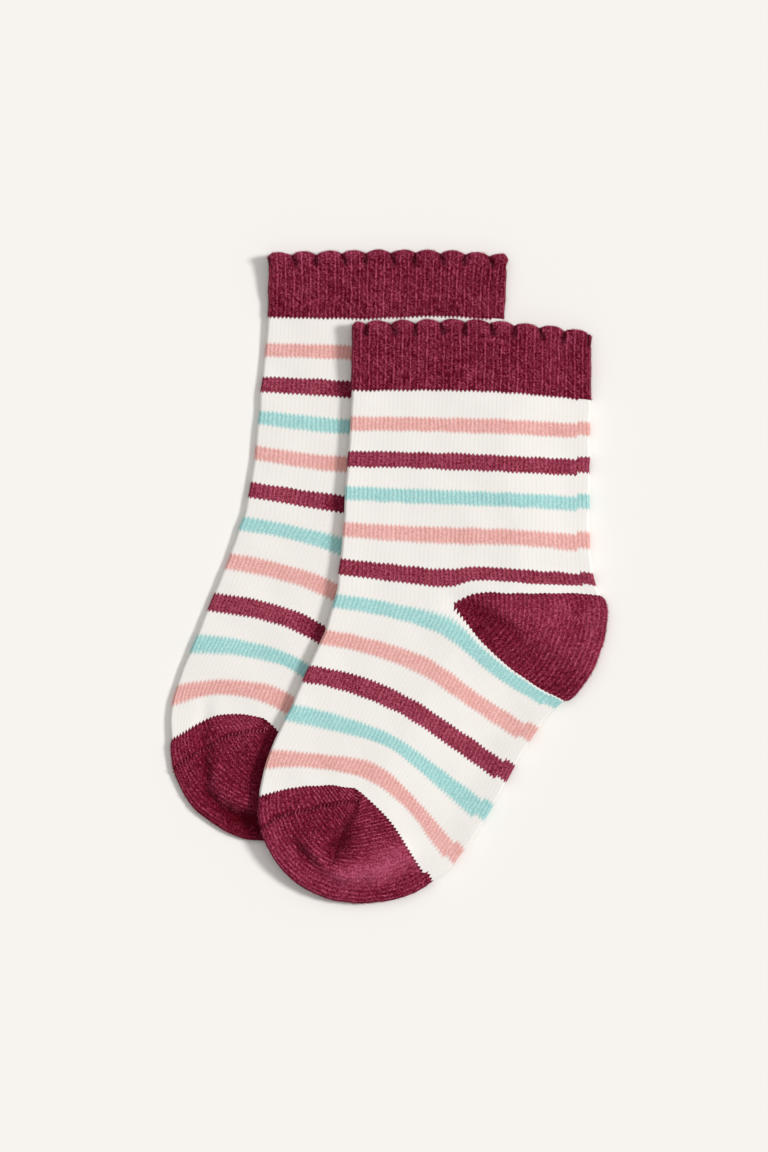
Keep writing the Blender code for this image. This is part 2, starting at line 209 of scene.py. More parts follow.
FOOT = np.array((
    (73, -15.6, -4.0, 20.3, -9.6, 54.0, -38.3, 0.0, -3.0, 1.0),
    (75, -16.0, -5.9, 18.5, -13.3, 53.2, -38.9, 1.0, -1.6, 0.3),
    (80, -17.2, -9.9, 15.9, -18.0, 50.3, -41.5, 1.3, -1.2, 0.0),
    (88, -19.1, -16.6, 12.2, -25.3, 45.4, -47.4, 1.1, -0.5, 0.0),
    (101, -24.1, -27.4, 6.1, -36.9, 38.4, -59.0, 1.6, 0.4, 0.0),
    (114, -29.2, -39.2, 0.9, -48.5, 31.7, -71.1, 0.9, 0.4, 0.0),
    (127, -35.8, -53.1, -4.3, -57.2, 22.9, -84.6, 0.7, 1.4, 0.0),
    (132, -37.7, -58.6, -6.7, -61.8, 19.5, -88.9, 1.7, 2.7, 0.3),
    (140, -39.2, -67.6, -10.2, -64.7, 12.5, -94.2, 1.8, 2.3, 1.0),
))
# How the rear sock's sections are moved: course, front x y, side x y, back x y, bow of the front half
REAR_SHIFT = np.array((
    (-27, -25.8, 21.2, -25.6, 21.4, -25.6, 23.6, 0.0),
    (0, -25.5, 22.4, -25.6, 22.0, -26.4, 24.7, 0.0),
    (10, -25.9, 22.6, -25.6, 22.0, -26.2, 24.4, 0.0),
    (62, -27.3, 23.5, -26.2, 22.0, -26.2, 22.9, 0.0),
    (88, -29.0, 23.4, -28.7, 23.2, -28.1, 22.0, 0.0),
    (101, -29.0, 22.3, -28.7, 23.5, -28.1, 21.3, 0.0),
    (127, -28.7, 19.5, -28.7, 22.6, -28.1, 20.7, 1.5),
    (140, -27.6, 17.7, -27.9, 21.0, -27.4, 19.8, 2.1),
))
print(len(LEG) + len(FOOT), "sections")

# %% [markdown]
# ## From wale and course to a place
#
# A smooth curve through a few rows of a table is all that we need, read at many places at once. Each
# section gives five points across the sock, and the same kind of curve runs through those.

# %% Smooth curves
TINY = 1e-9


def smooth(places, values, at):
    """Smooth curve through values, which stand at places, read at each entry of at.

    Values has a row for each place, or one such table for each entry of at."""
    places = np.asarray(places, float)
    slopes = np.gradient(np.eye(len(places)), places, axis=0, edge_order=2) @ values
    row = np.clip(np.searchsorted(places, at, side="right") - 1, 0, len(places) - 2)
    span = places[row + 1] - places[row]
    part = ((at - places[row]) / span)[:, None]
    rest, span = 1 - part, span[:, None]

    def pick(table, rows):
        if table.ndim == 2:
            return table[rows]
        return np.take_along_axis(table, rows[:, None, None], axis=1)[:, 0]

    return (
        (1 + 2 * part) * rest**2 * pick(values, row)
        + part * rest**2 * span * pick(slopes, row)
        + part**2 * (3 - 2 * part) * pick(values, row + 1)
        - part**2 * rest * span * pick(slopes, row + 1)
    )


def ease(part):
    """Smooth step from 0 to 1."""
    part = np.clip(part, 0.0, 1.0)
    return part * part * (3 - 2 * part)


def length(vectors):
    """Length of each vector."""
    return np.linalg.norm(vectors, axis=-1)


print("halfway from 0 to 1:", ease(0.5))

# %% [markdown]
# Across the sock, a course runs through five points: the two folds, the side, and the middle of each half.
# Over the leg and the instep it is one smooth curve. Beside the heel and the toe its halves meet in a
# corner, so we work out both kinds of line and fade from one to the other.

# %% Sections
FIVE = np.array((0.0, SIDE / 2, SIDE, (1 + SIDE) / 2, 1.0))


def section_knots(table, courses):
    """Five points across the sock, and the sharpness of the corner at the side, for each course."""
    rows = smooth(table[:, 0], table, courses)
    front, side, back = rows[:, 1:3], rows[:, 3:5], rows[:, 5:7]

    def middle(start, end, bow):
        along = (end - start) / length(end - start)[:, None]
        return (start + end) / 2 + bow[:, None] * np.stack((-along[:, 1], along[:, 0]), axis=1)

    middles = middle(front, side, rows[:, 7]), middle(side, back, rows[:, 8])
    return np.stack((front, middles[0], side, middles[1], back), axis=1), rows[:, 9]


def on_section(knots, corner, fraction):
    """Place at a fraction of the way across, from the front fold to the back fold."""
    whole = smooth(FIVE, knots, fraction)
    first = smooth(FIVE[:3], knots[:, :3], fraction)
    last = smooth(FIVE[2:], knots[:, 2:], fraction)
    halves = np.where((fraction <= SIDE)[:, None], first, last)
    return whole + corner[:, None] * (halves - whole)


def section_widths(table, steps=24, most=0.5):
    """Courses at close steps, and how wide the flat sock is at each."""
    courses = np.arange(table[0, 0], table[-1, 0] + most, most)
    knots, corner = section_knots(table, courses)
    walk = [on_section(knots, corner, np.full(len(courses), step / steps)) for step in range(steps + 1)]
    return courses, length(np.diff(walk, axis=0)).sum(axis=0)


def rear_table(table):
    """The rear sock's sections, from the front sock's."""
    moved = table.copy()
    moved[:, 1:8] += smooth(REAR_SHIFT[:, 0], REAR_SHIFT, table[:, 0])[:, 1:]
    return moved


print("width at the heel", round(float(section_widths(LEG)[1][-1]), 1), "mm")

# %% [markdown]
# ## The pouches of heel and toe
#
# A heel is knitted to and fro on half of the needles, on fewer and fewer of them and then on more and more
# again. The turning points line up in a seam-like corner, the gore, which runs from the side of the foot
# into the pouch. Near it the wales meet at an angle, and further out they swing round in an arc. We make
# both kinds of line and fade from one to the other.

# %% A pouch between two lips
class Pouch:
    """The cloth between two lips, which share the apex on the side of the foot.

    Reach goes from 0 at the apex to 1 at the outline, and turn from 0 at the first lip to 1 at the last."""

    def __init__(self, first_lip, last_lip, gore, depth, first, last, side, mitred, rounded):
        self.first_lip, self.last_lip, self.gore = first_lip, last_lip, gore
        self.depth, self.first, self.last, self.side = depth, first, last, side
        self.mitred, self.rounded = mitred, rounded
        ends = np.array((0.0, 1.0))
        self.apex, self.first_end = first_lip(ends)
        self.last_end = last_lip(ends)[1]

    def outline(self, turn):
        """The edge of the pouch: an arch on the line between the ends of its lips."""
        part = (1 - np.cos(np.pi * turn)) / 2
        peak = self.first / (self.first + self.last)
        out = self.depth * (part / peak) ** self.first * ((1 - part) / (1 - peak)) ** self.last
        chord = self.last_end - self.first_end
        left = self.side * np.array((-chord[1], chord[0])) / length(chord)
        return self.first_end + part[:, None] * chord + out[:, None] * left

    def radius(self, turn):
        """Distance from the apex to the outline."""
        return length(self.outline(turn) - self.apex)

    def corner_share(self, reach):
        """How far along its line, by length, the gore bends a wale at this reach."""
        corner = smooth(self.gore[:, 0], self.gore[:, 1:], reach)
        before, after = length(corner - self.first_lip(reach)), length(self.last_lip(reach) - corner)
        return before / np.maximum(before + after, TINY)

    def line_length(self, reach, steps=32):
        """Length of the wale at each reach."""
        turns = np.linspace(0, 1, steps + 1)
        walk = [self.spot(reach, np.full(len(reach), turn)) for turn in turns]
        return length(np.diff(walk, axis=0)).sum(axis=0)

    def spot(self, reach, turn):
        """Place on the cloth, with the wales mitred near the gore and rounded further out."""
        across, along = reach[:, None], turn[:, None]
        first_lip, last_lip = self.first_lip(reach), self.last_lip(reach)
        arc = self.apex + across * (self.outline(turn) - self.apex)
        arc += (1 - along) * (first_lip - self.apex - across * (self.first_end - self.apex))
        arc += along * (last_lip - self.apex - across * (self.last_end - self.apex))
        corner = smooth(self.gore[:, 0], self.gore[:, 1:], reach)
        bend = self.corner_share(reach)[:, None]
        before = first_lip + (corner - first_lip) * along / np.maximum(bend, TINY)
        after = corner + (last_lip - corner) * (along - bend) / np.maximum(1 - bend, TINY)
        mitre = np.where(along < bend, before, after)
        fade = ease((reach - self.mitred) / (self.rounded - self.mitred))[:, None]
        return mitre + fade * (arc - mitre)


print("pouch ready")

# %% [markdown]
# Both socks have pouches of one shape. The heel is a shallow, even arch on the side of the back fold,
# and the toe a deep one, a little more pointed, that closes the end of the foot. Each gore is a short line
# of points. It turns sharply near the side of the foot and fades where the cloth rounds off.

# %% Shapes of the pouches
# Depth, fullness towards each lip, which side, and between which reaches the corner turns into an arc
HEEL_SHAPE = {"depth": 5.4, "first": 0.5, "last": 0.5, "side": 1, "mitred": 0.35, "rounded": 0.7}
TOE_SHAPE = {"depth": 18.5, "first": 0.7, "last": 0.8, "side": -1, "mitred": 0.4, "rounded": 0.8}
# The gores: reach, x, y
FRONT_HEEL_GORE = np.array((
    (0.0, 20.3, -9.6), (0.28, 32.9, -13.6), (0.37, 36.6, -15.7), (0.47, 40.3, -19.7), (1.0, 59.0, -29.0),
))
FRONT_TOE_GORE = np.array((
    (0.0, -10.2, -64.7), (0.2, -9.6, -71.5), (0.34, -11.6, -76.1), (0.46, -13.0, -80.0),
    (0.58, -14.9, -84.3), (1.0, -24.0, -97.0),
))
REAR_HEEL_GORE = FRONT_HEEL_GORE + (0.0, -26.2, 22.5)
REAR_TOE_GORE = FRONT_TOE_GORE + (0.0, -27.9, 21.0)
print("points in the gores of heel and toe:", len(FRONT_HEEL_GORE), len(FRONT_TOE_GORE))

# %% [markdown]
# All that tells one sock from the other goes into one object: its sections, its two pouches, what it lies
# on, how puffed and how thin it is, the marks that hands have left on it, and the patches and strips where
# its yarn is painted lighter or darker for light and shade.

# %% A sock
class Sock:
    """One sock's sections and pouches, how its cloth lies, and the outline of what lies under it."""

    def __init__(self, name, leg, foot, gores, over, puff, thinner, seed, first_valley,
                 creases, pulls, patches, shades):
        self.name, self.leg, self.foot, self.over = name, leg, foot, over
        self.puff, self.thinner, self.seed, self.first_valley = puff, thinner, seed, first_valley
        self.creases, self.pulls, self.patches, self.shades = creases, pulls, patches, shades
        self.leg_widths, self.foot_widths = section_widths(leg), section_widths(foot)
        heel_gore, toe_gore = gores
        heel_lips = self.lip(leg, HEEL_COURSE, 1), self.lip(foot, HEEL_COURSE, 1)
        toe_lips = self.lip(foot, TOE_COURSE, -1), self.lip(foot, TOE_COURSE, 1)
        self.heel = Pouch(*heel_lips, heel_gore, **HEEL_SHAPE)
        self.toe = Pouch(*toe_lips, toe_gore, **TOE_SHAPE)

    @staticmethod
    def lip(table, course, side):
        """The edge of a pouch, from the side of the foot to the front fold, -1, or the back fold, 1."""
        knots, corner = section_knots(table, np.array((float(course),)))

        def place(reach):
            fraction = SIDE + reach * (1 - SIDE if side > 0 else -SIDE)
            many = np.broadcast_to(knots, (len(reach), 5, 2))
            return on_section(many, np.broadcast_to(corner, len(reach)), fraction)

        return place

    def outline(self, steps=24):
        """The sock's outline on the surface, once round."""
        leg = smooth(self.leg[:, 0], self.leg, np.linspace(WELT_COURSE, HEEL_COURSE, steps))
        foot = smooth(self.foot[:, 0], self.foot, np.linspace(HEEL_COURSE, TOE_COURSE, steps))
        turns = np.linspace(0, 1, steps)
        heel, toe = self.heel.outline(turns), self.toe.outline(turns)
        parts = (leg[:, 1:3], foot[:, 1:3], toe, foot[::-1, 5:7], heel[::-1], leg[::-1, 5:7])
        return np.concatenate(parts)


print("each sock: leg, foot, heel and toe")

# %% [markdown]
# ## How the cloth lies
#
# Laid flat, each tube is two layers that meet in springy folds, so the edge of a sock is half round. The
# front sock lies on the rear one and comes down to the surface beside it. Hands have smoothed the cloth,
# but not perfectly: it keeps soft troughs and ridges, which we place one by one.

# %% Round the fold
def round_the_fold(run, depth):
    """How far in from the outline, and how far from mid height, a point lies after run of cloth."""
    bend = np.minimum(run / FOLD_QUARTER, 1) * np.pi / 2
    inset = FOLD_REACH - (FOLD_REACH - depth) * np.cos(bend)
    straight = np.maximum(run - FOLD_QUARTER, 0.0)
    return inset + straight, (FOLD_RADIUS - depth) * np.sin(bend) ** FOLD_FULLNESS


near, up = round_the_fold(np.array((0.0, 1.0, 3.0)), 0.0)
print("0, 1 and 3 mm of cloth from the outline: inset", near.round(2), "height", up.round(2))

# %% [markdown]
# Two distances place everything else: how far a spot lies outside the rear sock, which tells how deep the
# front one has come down there, and how far it lies from a crease. A spot is inside an outline if a line
# drawn from it to one side crosses the outline an odd number of times.

# %% Distances
def distance_outside(outline, spots, batch=20000):
    """Distance of each spot from a closed outline, or 0 inside it."""
    runs = np.roll(outline, -1, axis=0) - outline
    squares = np.maximum((runs**2).sum(axis=1), TINY)
    found = []
    for start in range(0, len(spots), batch):
        away = spots[start : start + batch, None] - outline
        parts = np.clip((away * runs).sum(axis=2) / squares, 0, 1)
        nearest = length(away - parts[..., None] * runs).min(axis=1)
        level = spots[start : start + batch, None, 1]
        spans = (outline[:, 1] > level) != (np.roll(outline[:, 1], -1) > level)
        rise = np.where(runs[:, 1] == 0, TINY, runs[:, 1])
        crossing = away[..., 0] < away[..., 1] * runs[:, 0] / rise
        inside = (spans & crossing).sum(axis=1) % 2 == 1
        found.append(np.where(inside, 0.0, nearest))
    return np.concatenate(found)


def distance_from_line(spots, line):
    """Distance of each spot from a line of points, and the place along it, from 0 to 1, that is nearest."""
    best, where = np.full(len(spots), np.inf), np.zeros(len(spots))
    for index, (start, end) in enumerate(zip(line[:-1], line[1:])):
        run = end - start
        part = np.clip((spots - start) @ run / (run @ run), 0, 1)
        away = length(spots - start - part[:, None] * run)
        where = np.where(away < best, (index + part) / (len(line) - 1), where)
        best = np.minimum(best, away)
    return best, where


def hump(away, width):
    """1 where away is 0, falling off smoothly to nothing over about twice the width."""
    return np.exp(-((away / width) ** 2))


print("hump at 0, 1 and 2 widths:", hump(np.arange(3.0), 1.0).round(2))

# %% [markdown]
# Cloth that lies still is never quite even. A sum of waves in random directions gives it gentle hills, and
# a fixed seed gives the same hills every time. It also sways the stitches a little sideways.

# %% Unevenness
WAVE_SPREAD = (0.7, 1.6)


def unevenness(seed, spots, size, waves=14):
    """A smooth random height between about -1 and 1, with bumps of this size."""
    dice = np.random.default_rng(seed)
    total = np.zeros(len(spots))
    for _ in range(waves):
        angle, phase = dice.uniform(0, 2 * np.pi, 2)
        pace = 2 * np.pi / (size * dice.uniform(*WAVE_SPREAD))
        total += np.sin(spots @ (pace * np.array((math.cos(angle), math.sin(angle)))) + phase)
    return total / math.sqrt(waves)


spots = np.random.default_rng(1).uniform(-50, 50, (1000, 2))
print("unevenness", round(float(unevenness(1, spots, 20).std()), 2))

# %% [markdown]
# Laying a sock down takes a flat spot and a height, and adds what the sock lies on, its puffiness, its
# creases, its pulls and its unevenness. A crease changes the height, and a pull moves the cloth sideways.
# The lift fades towards the surface, where the sock is pressed flat.

# %% Laying a sock down
SWAY = 0.1
SWAY_SIZE = 9.0
WAVER = 0.1
WAVER_SIZE = 16.0


def crease_at(crease, spots):
    """How far each spot is from a crease, and how deep and wide the crease is nearest to it."""
    away, where = distance_from_line(spots, crease[:, :2])
    row = where * (len(crease) - 1)
    depth, width = (np.interp(row, np.arange(len(crease)), crease[:, k]) for k in (2, 3))
    return away, depth, width


def lay(sock, spots, height, inset, raised, thin):
    """Points of a sock, puffed, creased and draped over what lies below.

    Thin is 0 on the ribs and 1 on the thinner plain knitting."""
    under = np.zeros(len(spots))
    if sock.over is not None:
        fall = (distance_outside(sock.over, spots) - DRAPE_LEDGE) / DRAPE_FALL
        under = REST_LEVEL * (1 - (ease(fall) + np.clip(fall, 0, 1)) / 2)
    lift = sock.puff * (1 - thin / 2) * hump(inset, PUFF_REACH) - thin * sock.thinner
    for crease in sock.creases:
        away, depth, width = crease_at(crease, spots)
        lift -= depth * hump(away, width)
    for x, y, right, up, width in sock.pulls:
        reach = hump(length(spots - (x, y)), width)
        spots = spots + reach[:, None] * np.array((right, up))
    lift += WAVER * unevenness(sock.seed, spots, WAVER_SIZE)
    sway = np.stack([SWAY * unevenness(sock.seed + k, spots, SWAY_SIZE) for k in (1, 2)], axis=1)
    rise = under + height + lift * height / FLAT + raised
    return np.column_stack((spots + sway - MIDDLE, rise))


print("sway", SWAY, "mm, waver", WAVER, "mm")

# %% [markdown]
# The deepest troughs run round the toes, where the sock is fullest and the lower layer pushes the upper one
# up. The rear sock has one ridge at its cuff too, and the front one a few soft ones below its heel. A cloth
# simulation makes creases as well, but not at chosen places. A trough along a short line of points goes
# exactly where it is wanted.

# %% Creases
# Creases: x, y, depth, width. A trough has a positive depth and a ridge a negative one.
REAR_CREASES = [
    np.array((
        (-55.0, -34.0, 0.1, 3.0), (-56.6, -46.0, 0.9, 2.5), (-55.8, -58.5, 1.6, 2.2),
        (-56.2, -65.3, 1.4, 2.1), (-53.0, -70.0, 1.5, 1.9), (-48.0, -73.0, 1.8, 2.1),
        (-39.0, -75.3, 1.5, 2.4),
    )),
    np.array((
        (-52.5, -58.0, -0.4, 3.0), (-51.5, -65.5, -0.6, 3.0), (-46.0, -69.0, -0.7, 2.8),
        (-36.0, -71.0, -0.4, 3.0),
    )),
    np.array(((-37.0, 99.0, -2.2, 5.0), (-37.0, 92.0, -1.0, 4.0), (-37.0, 84.0, 0.0, 4.0))),
]
FRONT_CREASES = [
    np.array((
        (-29.0, -80.5, 0.7, 1.6), (-27.0, -83.4, 1.7, 1.6), (-24.6, -86.4, 1.3, 1.7),
        (-21.5, -88.8, 0.5, 1.6),
    )),
    np.array((
        (-9.4, -68.6, 0.4, 0.8), (-11.5, -73.0, 0.9, 0.8), (-14.5, -80.0, 0.9, 0.9), (-16.8, -85.5, 0.4, 0.9),
    )),
    np.array(((-13.0, -77.0, 0.8, 3.6), (-15.0, -82.0, 1.8, 3.4), (-17.5, -85.0, 1.2, 3.0))),
    np.array((
        (-23.5, -82.5, -0.4, 1.8), (-19.5, -88.0, -1.1, 2.4), (-13.0, -91.4, -1.6, 2.8),
        (-4.0, -90.0, -1.5, 3.4), (4.0, -84.5, -0.9, 4.0),
    )),
    np.array(((34.0, -10.5, -0.3, 4.0), (48.0, -17.0, -0.9, 6.0), (60.0, -25.0, -0.7, 6.0))),
    np.array(((20.0, -9.6, 0.7, 4.0), (30.0, -16.0, 0.6, 5.0))),
]
print("creases", len(REAR_CREASES), "and", len(FRONT_CREASES))

# %% [markdown]
# Hands also pulled the cloth sideways here and there: the corner of a heel a little out, a toe a little
# round. A pull moves everything near its centre by so much to the right and up, and fades over its width.

# %% Pulls
# x, y, right, up, width
REAR_PULLS = (
    (-45.8, -7.5, 0.0, -0.5, 10.0), (-59.5, -49.5, 0.0, -2.3, 6.5), (-54.0, -74.0, 0.4, 0.3, 9.0),
    (-66.5, -53.0, 0.8, 0.0, 6.5), (-66.0, -64.0, 0.6, 0.2, 6.0), (-20.0, 40.0, 0.0, -0.8, 14.0),
    (12.8, 78.8, 0.0, 0.5, 12.0),
)
FRONT_PULLS = (
    (27.0, -6.0, 0.0, 1.6, 8.0), (11.3, -82.2, -1.1, -0.3, 9.0), (57.0, -35.0, -0.3, 0.3, 8.0),
    (63.0, 66.0, -0.4, -0.2, 8.0), (46.5, -4.5, 0.0, -0.8, 10.0), (25.0, -5.0, 0.0, 0.5, 5.0),
)
print("pulls", len(REAR_PULLS), "and", len(FRONT_PULLS))

# %% [markdown]
# In some patches the yarn is painted lighter and its stitches less crisp: partly a soft bloom that rubbing
# has raised, partly painted highlight where the cloth turns towards the light. The same number below 0 is
# painted shade: it darkens the yarn where it lies in shade. It could be painted on by hand, but ellipses are
# easier to shift and turn. The last table is a painted shadow: it follows the strip of the rear sock that
# the front one shades, row by row like a crease.

# %% Patches of rubbing, painted light and painted shade
# x, y, direction, long radius, short radius, rubbing and painted light, below 0 painted shade
REAR_PATCHES = (
    (-50.0, -60.0, 0.0, 17.0, 17.0, -0.35), (-42.5, -76.5, -0.35, 8.5, 4.6, -1.4),
    (-46.5, -45.5, 0.0, 9.0, 3.4, 0.8),
)
FRONT_PATCHES = (
    (-1.0, -88.0, 0.35, 15.0, 6.0, 1.0), (30.0, -16.5, -0.65, 13.0, 5.0, -0.5),
    (48.0, -31.0, -0.8, 12.0, 5.0, -0.4), (50.0, -9.5, -0.1, 16.0, 5.0, 0.6),
    (63.5, -17.0, -1.5, 13.0, 3.5, 0.6), (-14.5, -81.5, 1.2, 8.5, 4.2, -0.5),
    (-22.0, -77.0, 0.6, 9.0, 5.0, -0.4), (-31.0, -84.0, -0.9, 12.0, 4.5, 0.5),
    (14.0, -84.0, 0.6, 12.0, 6.0, 0.3), (-9.0, -91.0, 0.05, 11.0, 3.6, 0.5),
)
# x, y, how deep the painted shadow is, width
SHADE_BESIDE_FRONT = np.array((
    (-11.0, 76.0, 1.2, 4.0), (-10.7, 66.0, 1.7, 5.0), (-10.7, 59.0, 1.7, 5.0), (-12.8, 36.4, 1.7, 5.0),
    (-14.3, 15.4, 1.6, 5.0), (-15.3, 1.4, 1.5, 5.0), (-18.4, -12.7, 1.3, 5.0), (-24.9, -28.5, 1.2, 4.5),
    (-31.4, -40.1, 1.1, 4.0), (-37.9, -56.0, 1.0, 3.5), (-39.7, -67.6, 0.8, 3.5),
))
print("patches", len(REAR_PATCHES), "and", len(FRONT_PATCHES))

# %% [markdown]
# Now the two socks can be made. The front one needs the outline of the rear one, since it lies on it.

# %% The two socks
rear = Sock(
    "rear", rear_table(LEG), rear_table(FOOT), (REAR_HEEL_GORE, REAR_TOE_GORE),
    over=None, puff=0.0, thinner=1.2, seed=10, first_valley=0.65,
    creases=REAR_CREASES, pulls=REAR_PULLS, patches=REAR_PATCHES, shades=[SHADE_BESIDE_FRONT],
)
front = Sock(
    "front", LEG, FOOT, (FRONT_HEEL_GORE, FRONT_TOE_GORE),
    over=rear.outline(), puff=FRONT_PUFF, thinner=0.7, seed=20, first_valley=4.2,
    creases=FRONT_CREASES, pulls=FRONT_PULLS, patches=FRONT_PATCHES, shades=[],
)
print("outline of the rear sock:", len(front.over), "points")

# %% [markdown]
# To find how much lighter or darker a point is painted, we ask each patch, crease and strip in turn. Creases
# get painted shade in their troughs, because less light gets down into them, and painted highlight on their
# ridges.

# %% Rubbing, painted light and painted shade
CREASE_SHADE = 0.45


def wear_and_shading(sock, points):
    """Lighter above 0, for rubbing and painted highlight; darker below 0, for painted shade and shadow."""
    spots = points[:, :2] + MIDDLE
    total = np.zeros(len(points))
    for x, y, turn, long, short, amount in sock.patches:
        away = spots - (x, y)
        along = away @ (math.cos(turn), math.sin(turn)) / long
        aside = away @ (-math.sin(turn), math.cos(turn)) / short
        total += amount * np.exp(-(along**2) - aside**2)
    # Troughs get painted shade, ridges painted highlight, and the strip a painted shadow.
    marks = [(CREASE_SHADE, crease) for crease in sock.creases] + [(1.0, shade) for shade in sock.shades]
    for share, line in marks:
        away, depth, width = crease_at(line, spots)
        total -= share * depth * hump(away, width)
    return total


by_the_toe = np.array(((-50.0, -60.0, 0.0),))
print("wear near the rear toe", wear_and_shading(rear, by_the_toe).round(2))

# %% [markdown]
# ## From wale, course and depth to a point
#
# Everything so far comes together in two functions. The first gives points of the tube of leg and foot: it
# walks round the tube by as much cloth as the wale says, through the folds, and finds the place across the
# section. The second does the same for a pouch, where the columns of wales run round from lip to lip.

# %% The tube's surface
def tube(sock, course, wale, depth, raised=0.0):
    """Points of the tube of leg and foot. Depth goes into the wall."""
    spots, inset = np.empty((len(course), 2)), np.empty(len(course))
    rise = np.empty(len(course))
    on_leg = course < HEEL_COURSE
    for table, widths, mine in (
        (sock.leg, sock.leg_widths, on_leg),
        (sock.foot, sock.foot_widths, ~on_leg),
    ):
        if not mine.any():
            continue
        knots, corner = section_knots(table, course[mine])
        width = np.interp(course[mine], *widths)
        half_round = width + 2 * (FOLD_QUARTER - FOLD_REACH)
        run = half_round * np.minimum(wale[mine], ROUND - wale[mine]) / ACROSS
        from_front = run <= half_round / 2
        reach, up = round_the_fold(np.where(from_front, run, half_round - run), depth[mine])
        fraction = np.where(from_front, reach / width, 1 - reach / width)
        spots[mine] = on_section(knots, corner, fraction)
        inset[mine] = reach
        rise[mine] = np.where(wale[mine] <= ACROSS, up, -up)
    return lay(sock, spots, FOLD_RADIUS + rise, inset, raised, ease((course - WELT_COURSE) / THINNING))


def pouch(sock, mouth, share, turn, under, depth):
    """Points of a pouch. Share is the part of its wales that is passed on the way to the outline."""
    radius = mouth.radius(turn)
    cloth = radius + FOLD_QUARTER - FOLD_REACH
    inset, up = round_the_fold(cloth * (1 - share), depth)
    spots = mouth.spot(1 - inset / radius, turn)
    return lay(sock, spots, FOLD_RADIUS + np.where(under, -up, up), inset, 0.0, 1.0)


print("welt corner", tube(front, np.array((-27.0,)), np.array((0.0,)), np.array((0.0,))).round(1))

# %% [markdown]
# ## Yarn and stitches as materials
#
# Plain knitting shows a column of little Vs. Each V is two legs of yarn that lean apart, so its height
# rises and falls twice across a wale and once for each course, with the courses bent into the V. One node
# group works that out from the wale and course of a point, and every knitted material uses it: for a
# bump, for the darker grooves, and for the colour changes, which follow the Vs and so get their teeth. A
# woven or knitted pattern from a library would lie across the form. This one counts the needles, so it goes
# round the heel and the toe as the yarn does.
#
# Node trees made in a script soon get long. A few helpers keep them short. The first ones make a group, and
# a node with its inputs filled in.

# %% Node helpers
def new_group(name, inputs, outputs):
    """An empty shader node group with named sockets, its input node and its output node."""
    tree = bpy.data.node_groups.new(name, "ShaderNodeTree")
    for socket, kind, value in inputs:
        made = tree.interface.new_socket(name=socket, in_out="INPUT", socket_type=kind)
        if value is not None:
            made.default_value = value
    for socket in outputs:
        tree.interface.new_socket(name=socket, in_out="OUTPUT", socket_type="NodeSocketFloat")
    return tree, tree.nodes.new("NodeGroupInput"), tree.nodes.new("NodeGroupOutput")


def plug(tree, socket, value):
    """Gives a socket a number, a colour or the output of another node."""
    if isinstance(value, bpy.types.NodeSocket):
        tree.links.new(value, socket)
    else:
        socket.default_value = value


def node(tree, kind, **inputs):
    """A node with inputs set by name, or by number as in i0, with underscores for blanks."""
    made = tree.nodes.new(kind)
    for name, value in inputs.items():
        key = int(name[1:]) if name[1:].isdigit() else name.replace("_", " ")
        plug(tree, made.inputs[key], value)
    return made


print("groups and nodes can be made")

# %% [markdown]
# Most of the nodes do arithmetic on stitches, and the rest choose or blend colours. A helper for each kind
# keeps the recipes below short enough to read.

# %% Helpers for arithmetic and colours
def maths(tree, operation, *values):
    """The result of one piece of arithmetic on sockets and numbers."""
    made = tree.nodes.new("ShaderNodeMath")
    made.operation = operation
    for socket, value in zip(made.inputs, values):
        plug(tree, socket, value)
    return made.outputs[0]


def blend_colours(tree, share, first, second):
    """The first colour where the share is 0, the second where it is 1."""
    made = tree.nodes.new("ShaderNodeMix")
    made.data_type = "RGBA"
    for index, value in ((0, share), (6, first), (7, second)):
        plug(tree, made.inputs[index], value)
    return made.outputs[2]


def clamped(tree, value):
    """A value kept between 0 and 1."""
    return node(tree, "ShaderNodeClamp", Value=value).outputs[0]


def place_group(tree, group, **inputs):
    """A group placed in a tree, with its inputs set by name."""
    made = tree.nodes.new("ShaderNodeGroup")
    made.node_tree = group
    for name, value in inputs.items():
        plug(tree, made.inputs[name.replace("_", " ")], value)
    return made


print("values can be worked out, clamped and blended")

# %% [markdown]
# Two shapes return in all knitting. A bell marks whatever lies near a line, and an arch rises and falls once
# for each stitch. The yarn isn't even along a wale either, so each line of knitting gets its own slow noise.

# %% Bells, arches and wandering lines
LINES_APART = 7.3
NOISE_DETAIL = 3.0
NOISE_ROUGHNESS = 0.7
STRENGTH_CONTRAST = (7.0, -3.0)


def bell(tree, distance, width):
    """1 where the distance is 0, falling off smoothly to nothing over about twice the width."""
    scaled = maths(tree, "DIVIDE", distance, width)
    return maths(tree, "EXPONENT", maths(tree, "MULTIPLY", maths(tree, "MULTIPLY", scaled, scaled), -1.0))


def arch(tree, part):
    """0 at both ends of a stitch and 1 in its middle. Part goes from 0 to 1 along it."""
    return maths(tree, "SINE", maths(tree, "MULTIPLY", part, math.pi))


def wandering(tree, line_number, course, pace):
    """Two random values along each line of knitting: where it wanders, and how strong it is."""
    apart = node(tree, "ShaderNodeCombineXYZ", X=maths(tree, "MULTIPLY", line_number, LINES_APART), Y=course)
    noise = node(tree, "ShaderNodeTexNoise", Vector=apart.outputs[0], Scale=pace, Detail=NOISE_DETAIL,
                 Roughness=NOISE_ROUGHNESS)
    split = node(tree, "ShaderNodeSeparateColor", Color=noise.outputs["Color"])
    aside = maths(tree, "SUBTRACT", split.outputs[0], 0.5)
    strength = maths(tree, "MULTIPLY_ADD", split.outputs[1], *STRENGTH_CONTRAST)
    return aside, clamped(tree, strength)


print("bell, arch and wandering lines ready")
